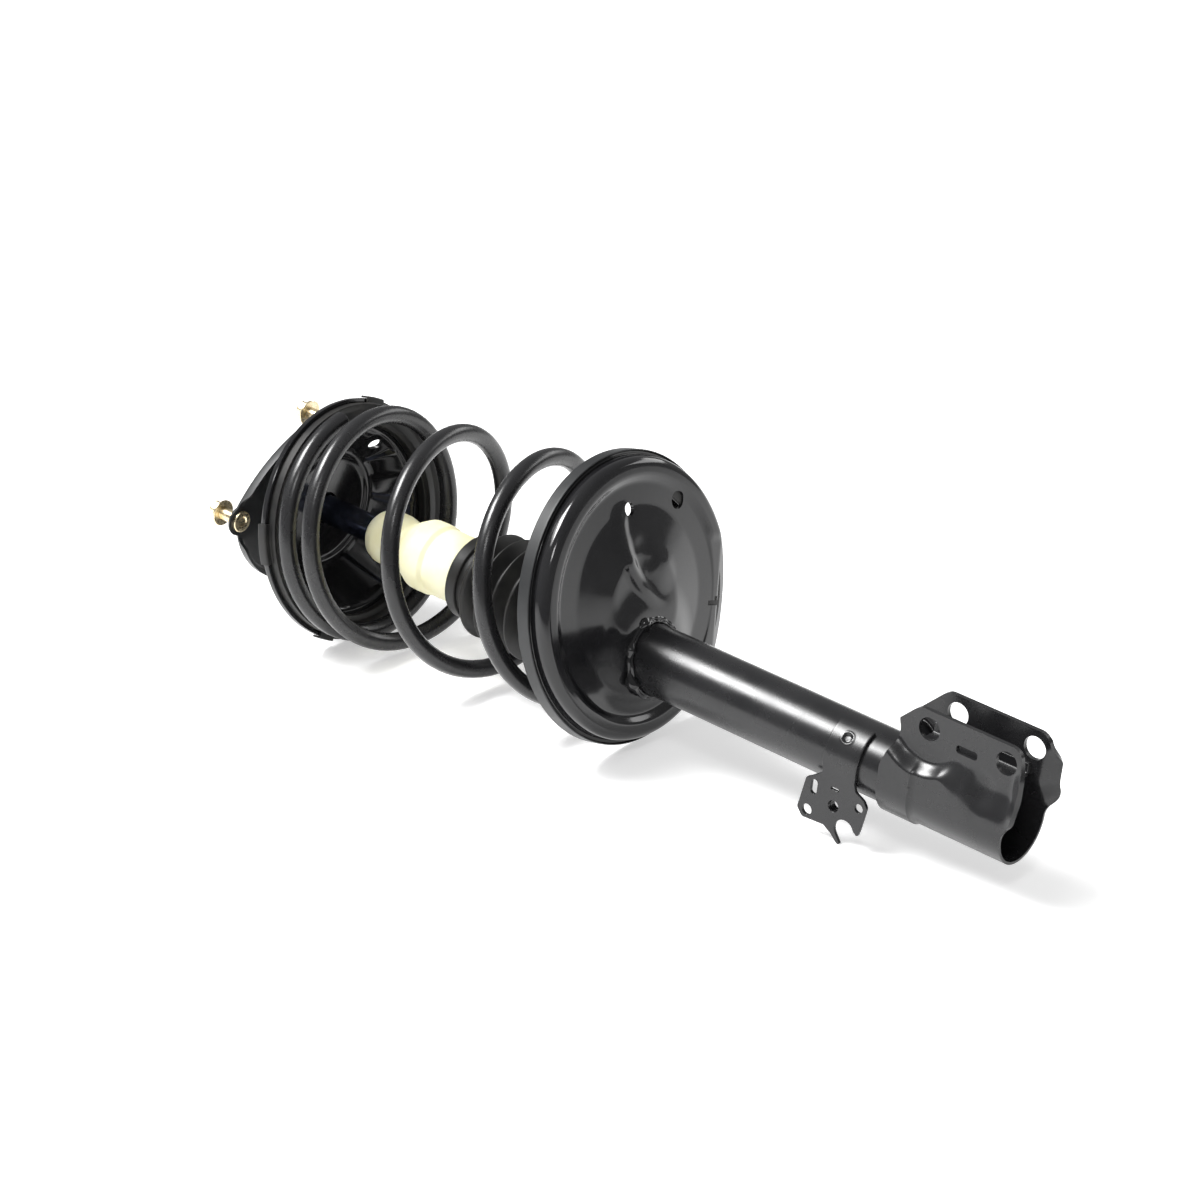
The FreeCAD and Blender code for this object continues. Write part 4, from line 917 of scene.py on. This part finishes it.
def dust_boot():
    """Bellows with a thick collar, sharp rounded ridges and a plain cuff."""
    outside = [(190.7, 27.0), (190.7, 33.0, 2.2), (201.0, 33.0, 1.2), (201.4, 30.5, 0.8),
               (206.4, 30.5, 1.2)] 
    inside = []
    for i in range(6):
        low = 207.5 + 15.0 * i
        outside += [(low + 0.6, 33.0, 1.2), (low + 7.5, 43.4, 1.1 if i else 2.6), (low + 14.4, 33.0, 1.2)]
        inside += [(low + 1.2, 31.2), (low + 7.5, 41.0), (low + 13.8, 31.2)]
    outside += [(299.0, 33.0, 1.0), (299.4, 29.0, 0.6), (305.5, 29.0, 1.0), (305.5, 25.6, 0.5)]
    back = [(295.9, 25.6), (295.9, 31.2)] + inside[::-1] + [(206.0, 31.0), (206.0, 26.9)]
    profile = dense(rounded(outside + back, 5), 4.0)
    obj = mesh_object("bellows_boot", *skin(rings_on(profile), circle(144)), sharp=70)
    dress(obj, PAINT["black_rubber"], "black_rubber", "strut_body", "dust_boot")
    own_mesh(obj)
    return obj


# Damper tube

def damper_tube():
    profile = [(246.2, 17.0), (244.3, 17.3), (244.0, 18.2), (244.0, 23.6), (244.5, 24.9), (245.6, 25.5),
               (300.0, 25.5), (360.0, 25.5), (540.0, 25.5), (588.0, 25.5), (654.2, 25.5), (655.0, 24.9),
               (655.0, 23.9), (654.6, 23.3), (450.0, 23.3), (246.2, 23.3)]
    obj = mesh_object("outer_tube", *skin(rings_on(profile), circle(128)))
    return dress(obj, TUBE_PAINT, "black_paint", "strut_body", "strut_tube")


def bottom_cap():
    profile = [(655.0, 0.0), (655.0, 16.0), (654.2, 20.0), (655.4, 22.4), (654.8, 23.3), (644.4, 23.3),
               (644.0, 22.9), (644.0, 20.8), (650.0, 20.4), (651.0, 16.0), (651.0, 0.0)]
    obj = mesh_object("tube_bottom", *skin(rings_on(profile), circle(96), closed=False))
    return dress(obj, PAINT["black_paint"], "black_paint", "strut_body", "bottom_cap")


# Knuckle bracket

EAR_Y = 15.0
SHEET_T = 3.6
ARC_SHARE = 0.36


def ear_top(x):
    """Height of the ears' upper edge: level, with both corners cut."""
    return least(least(64.5, x - 544.5, 4.0), 752.5 - x, 4.0)


def off_flat(x, z):
    """Distance outside the ears' flat: a strip along the top and a pad round each bolt hole."""
    pad = math.hypot((x - HOLE_X) / 1.08, z - HOLE_Z) - 23.0
    end_pad = math.hypot(min(x - HOLE_X - HOLE_PITCH, 0.0), z - HOLE_Z) - 19.0
    return least(least(pad, end_pad, 5.0), 39.0 - z, 5.0)


def side_out(x, z):
    """How far the side of the bracket stands out from the axis at a height above it."""
    radius = TUBE_R + (SHEET_T if x < 616 else SHEET_T - 1.6 * smooth((x - 612) / 8.0))
    width = 10.0 + 15.0 * smooth((x - 634.0) / 20.0)
    inset = (radius - EAR_Y - SHEET_T) * (1 - smooth(off_flat(x, z) / width))
    hollow = 2.6 * bump(math.hypot((x - 667.0) / 9.0, (z - 22.0) / 13.0), 1.5)
    return radius - inset - hollow


def bracket_section(x, s):
    """Point (out, z) of half the section, from the bottom line (0) up to the ear's edge (1)."""
    if s < ARC_SHARE:
        radius = side_out(x, 0.0)
        angle = math.pi / 2 * s / ARC_SHARE
        return radius * math.sin(angle), -radius * math.cos(angle)
    z = ear_top(x) * (s - ARC_SHARE) / (1 - ARC_SHARE)
    return side_out(x, z), z


def left_end(s, side):
    """Where the bracket begins along the axis; the near ear steps back and the far one stands out."""
    rise = (s - ARC_SHARE) / (1 - ARC_SHARE)
    if side > 0:
        return 590.0 - 6.0 * smooth((rise - 0.05) / 0.2)
    return 590.0 + 6.6 * smooth((rise - 0.30) / 0.42) - 1.6 * smooth((rise - 0.8) / 0.2)


def right_end(s):
    rise = (s - ARC_SHARE) / (1 - ARC_SHARE)
    return 691.0 + 5.8 * smooth((rise + 0.02) / 0.3) - 5.0 * smooth((rise - 0.78) / 0.3)


def lip_out(x, z, s, side):
    """Turned-out end of the ears and shoulders, wider on the far side."""
    reach = smooth((x - 685.0) / 15.0) ** 1.4
    width = 6.5 if side < 0 else 11.0
    return width * reach * smooth((s - 0.38) / 0.26) * (1 - smooth((z - 42.0) / 20.0))


def bracket_side(side, columns=100, rows=130):
    """Outer face of one half of the bracket."""
    grid = []
    for k in range(rows + 1):
        s = k / rows
        line = []
        for c in range(columns + 1):
            x = left_end(s, side) + (right_end(s) - left_end(s, side)) * c / columns
            out, z = bracket_section(x, s)
            line.append(Vector((x, side * (out + lip_out(x, z, s, side)), z)))
        grid.append(line)
    return grid


def thick_sheet(grid, thickness):
    """Closed sheet from a grid of outer points, pushed in along its own normals."""
    rows = len(grid)
    cols = len(grid[0])
    verts = [p for line in grid for p in line]
    inner = []
    for i in range(rows):
        for j in range(cols):
            a = grid[min(i + 1, rows - 1)][j] - grid[max(i - 1, 0)][j]
            b = grid[i][min(j + 1, cols - 1)] - grid[i][max(j - 1, 0)]
            normal = a.cross(b).normalized()
            inner.append(grid[i][j] - normal * thickness(grid[i][j]))
    verts += inner
    faces = []
    size = rows * cols
    for i in range(rows - 1):
        for j in range(cols - 1):
            a = i * cols + j
            faces.append((a, a + 1, a + cols + 1, a + cols))
            faces.append((size + a, size + a + cols, size + a + cols + 1, size + a + 1))
    edge = [j for j in range(cols)] + [i * cols + cols - 1 for i in range(1, rows)]
    edge += [(rows - 1) * cols + j for j in reversed(range(cols - 1))]
    edge += [i * cols for i in reversed(range(1, rows - 1))]
    for a, b in zip(edge, edge[1:] + edge[:1]):
        faces.append((a, size + a, size + b, b))
    return [tuple(v) for v in verts], faces


def bolt_drills():
    places = (HOLE_X, HOLE_X + HOLE_PITCH)
    return [prism(round_outline((x, HOLE_Z), BOLT_R, 56), across(-60, 60)) for x in places]


def knuckle_outer():
    """Pressed clamp round the tube with two flared ears."""
    near = bracket_side(-1)
    far = bracket_side(1)
    grid = near[::-1] + far[1:]

    def thickness(p):
        wrap = smooth((10 - p.z) / 8.0) * smooth((p.x - 612) / 8.0)
        return SHEET_T - 1.6 * wrap
    verts, faces = thick_sheet(grid, thickness)
    obj = mesh_object("knuckle_clamp", verts, faces)
    drills = bolt_drills()
    slot = rounded([(642.0, 43.0, 2.4), (659.0, 43.0, 2.4), (659.0, 49.0, 2.4), (642.0, 49.0, 2.4)], 5)
    drills.append(prism(slot, across(-60, 0)))
    cut_out(obj, mesh_object("drills", *joined(drills)))
    soften(obj, 0.5)
    return dress(obj, TUBE_PAINT, "black_paint", "strut_body", "knuckle_bracket_outer")


def knuckle_inner():
    """Channel between the ears."""
    outer = rounded([(-15.0, 40.0), (-15.0, 29.5, 4.5), (15.0, 29.5, 4.5), (15.0, 40.0)], 6, closed=False)
    inner = rounded([(11.8, 40.0), (11.8, 32.7, 1.6), (-11.8, 32.7, 1.6), (-11.8, 40.0)], 6, closed=False)
    obj = mesh_object("ear_channel", *prism(outer + inner, along(604.0, 681.0)))
    drills = bolt_drills()
    cut_out(obj, mesh_object("drills", *joined(drills)))
    soften(obj, 0.5)
    return dress(obj, TUBE_PAINT, "black_paint", "strut_body", "knuckle_bracket_inner")


# Hose bracket

BAND_X = 543.0
BAND_W = 29.0
BAND_T = 2.6


def band():
    """Band round the near side of the tube, with a shallow dimple over its spot weld."""
    rings = dense(rounded([(BAND_X, TUBE_R), (BAND_X, TUBE_R + BAND_T, 0.7),
                           (BAND_X + BAND_W, TUBE_R + BAND_T, 0.7), (BAND_X + BAND_W, TUBE_R)], 3), 0.9)

    def lift(i, angle):
        x, r = rings[i]
        if r < TUBE_R + 1.5:
            return 0.0, 0.0
        away = math.hypot(x - 556.6, (angle - turn(47.0)) * r)
        return 0.0, -1.5 * (1 - smooth((away - 2.4) / 1.6)) + 0.25 * bump(away - 4.6, 1.2)
    return skin(rings_on(rings), arc(22.0, 90.0, 80), lift, wrap=False)


def tab_outline():
    """Flat tab under the band, as (x, z)."""
    left = [(0.0, 0.5), (2.0, -9.5, 3.0), (-6.6, -16.0, 2.0), (-11.0, -18.6, 3.0), (-15.6, -44.0, 3.0),
            (-10.6, -50.0, 3.0), (8.0, -48.8, 3.0), (14.5, -52.5, 4.0), (20.2, -57.8, 0.8),
            (22.0, -58.6, 1.0), (23.6, -57.4, 0.8)]
    notch = [(25.4 + 8.0 * math.cos(turn(a)), -46.2 + 8.0 * math.sin(turn(a))) for a in range(215, 14, -15)]
    right = [(37.0, -47.0, 1.5), (38.6, -41.0, 1.5), (41.8, -22.0, 3.2), (38.6, -17.4, 3.0),
             (31.0, -13.5, 2.5), (29.0, -8.0, 3.0), (29.0, 0.5)]
    points = left + notch + right
    return [(BAND_X + p, q) for p, q in rounded(points, 5)]


def hose_bracket():
    tab = prism(tab_outline(), across(-TUBE_R, -TUBE_R - BAND_T))
    obj = mesh_object("hose_tab", *tab)
    drills = [prism(round_outline((BAND_X + p, q), r), across(-10, -40))
              for p, q, r in ((-7.0, -43.0, 4.0), (35.2, -24.6, 3.3), (14.3, -31.5, 4.3))]
    slot = rounded([(-5.9, -29.0, 2.4), (-0.9, -29.0, 2.4), (-0.9, -18.0, 2.4), (-5.9, -18.0, 2.4)], 5)
    drills.append(prism([(BAND_X + p, q) for p, q in slot], across(-10, -40)))
    window = rounded([(10.5, -19.2, 0.5), (17.0, -19.2, 0.5), (17.0, -17.4, 0.5), (10.5, -17.4, 0.5)], 3)
    drills.append(prism([(BAND_X + p, q) for p, q in window], across(-10, -40)))
    cut_out(obj, mesh_object("drills", *joined(drills)))
    strap = mesh_object("hose_band", *band())
    dress(strap, TUBE_PAINT, "black_paint", "strut_body", "hose_bracket")
    soften(obj, 0.5)
    return dress(obj, TUBE_PAINT, "black_paint", "strut_body", "hose_bracket")


def paint_frame():
    """Finish of the CAD nodes that stay."""
    slots = {entry["node"]: entry["material_slot"] for entry in frame["record"]["subparts"]}
    for name, obj in frame["nodes"].items():
        material = PAINT[slots[name]]
        obj.data.materials.clear()
        obj.data.materials.append(material)
        if not obj.hide_render:
            soften(obj, 0.25)


# Studio

def studio():
    size = 6.0
    floor = bpy.data.meshes.new("floor")
    corners = [(-size, -size), (size, -size), (size, size), (-size, size)]
    floor.from_pydata([(x, y, FLOOR_Z) for x, y in corners], [], [(0, 1, 2, 3)])
    obj = bpy.data.objects.new("floor", floor)
    bpy.context.scene.collection.objects.link(obj)
    material, tree, shader = node_material("floor_white")
    clouds = noise_at(tree, 0.002)
    paper = tints(tree, clouds, (0.3, (0.80, 0.80, 0.80)), (0.7, (0.82, 0.82, 0.82)))
    tree.links.new(paper, shader.inputs["Base Color"])
    tree.links.new(paper, shader.inputs["Emission Color"])
    shader.inputs["Emission Strength"].default_value = 0.58
    shader.inputs["Roughness"].default_value = 0.9
    shader.inputs["Specular IOR Level"].default_value = 0.0
    floor.materials.append(material)


def softbox(name, place, target, size, power):
    data = bpy.data.lights.new(name, "AREA")
    data.shape = "RECTANGLE"
    data.size, data.size_y = size
    data.energy = power
    lamp = bpy.data.objects.new(name, data)
    bpy.context.scene.collection.objects.link(lamp)
    lamp.location = place
    lamp.rotation_euler = (Vector(target) - Vector(place)).to_track_quat("-Z", "Y").to_euler()


def lighting():
    world = bpy.data.worlds.new("studio")
    bpy.context.scene.world = world
    world.use_nodes = True
    ground = world.node_tree.nodes["Background"]
    ground.inputs["Color"].default_value = (1.0, 1.0, 1.0, 1.0)
    ground.inputs["Strength"].default_value = 0.30
    middle = (0.33, 0.0, 0.0)
    softbox("over", (-0.50, -0.65, 1.50), middle, (0.8, 0.55), 42)
    softbox("far", (0.75, 1.9, 0.9), middle, (1.6, 0.5), 9)
    softbox("front", (1.3, -1.3, 1.6), middle, (0.5, 0.35), 7)
    data = bpy.data.lights.new("sky", "SUN")
    data.energy = 1.8
    data.angle = turn(34)
    sky = bpy.data.objects.new("sky", data)
    bpy.context.scene.collection.objects.link(sky)
    sky.rotation_euler = Vector((0.50, 0.34, -0.80)).to_track_quat("-Z", "Y").to_euler()
    bpy.context.scene.view_settings.view_transform = "Standard"


CAMERA_PLACE = Vector((1.70762, -1.69001, 0.92997))
CAMERA_FORWARD = Vector((-0.58576, 0.71084, -0.38936))
CAMERA_UP = Vector((-0.27776, 0.27525, 0.92038))


def camera():
    forward = CAMERA_FORWARD.normalized()
    right = forward.cross(CAMERA_UP).normalized()
    up = right.cross(forward)
    data = bpy.data.cameras.new("camera")
    data.lens = 97.55
    data.sensor_width = 36.0
    data.clip_end = 50.0
    obj = bpy.data.objects.new("camera", data)
    bpy.context.scene.collection.objects.link(obj)
    turned = Matrix((right, up, -forward)).transposed().to_4x4()
    obj.matrix_world = Matrix.Translation(CAMERA_PLACE) @ turned
    bpy.context.scene.camera = obj


for make in (mount_plate, studs, stud_nuts, rod_top_nut, top_washer, mount_rubber, piston_rod, upper_seat,
             upper_insulator, coil_spring, lower_seat, lower_insulator, seat_collar, bump_stop, dust_boot,
             damper_tube, bottom_cap, knuckle_outer, knuckle_inner, hose_bracket, paint_frame,
             studio, lighting, camera):
    make()

bpy.context.view_layer.update()
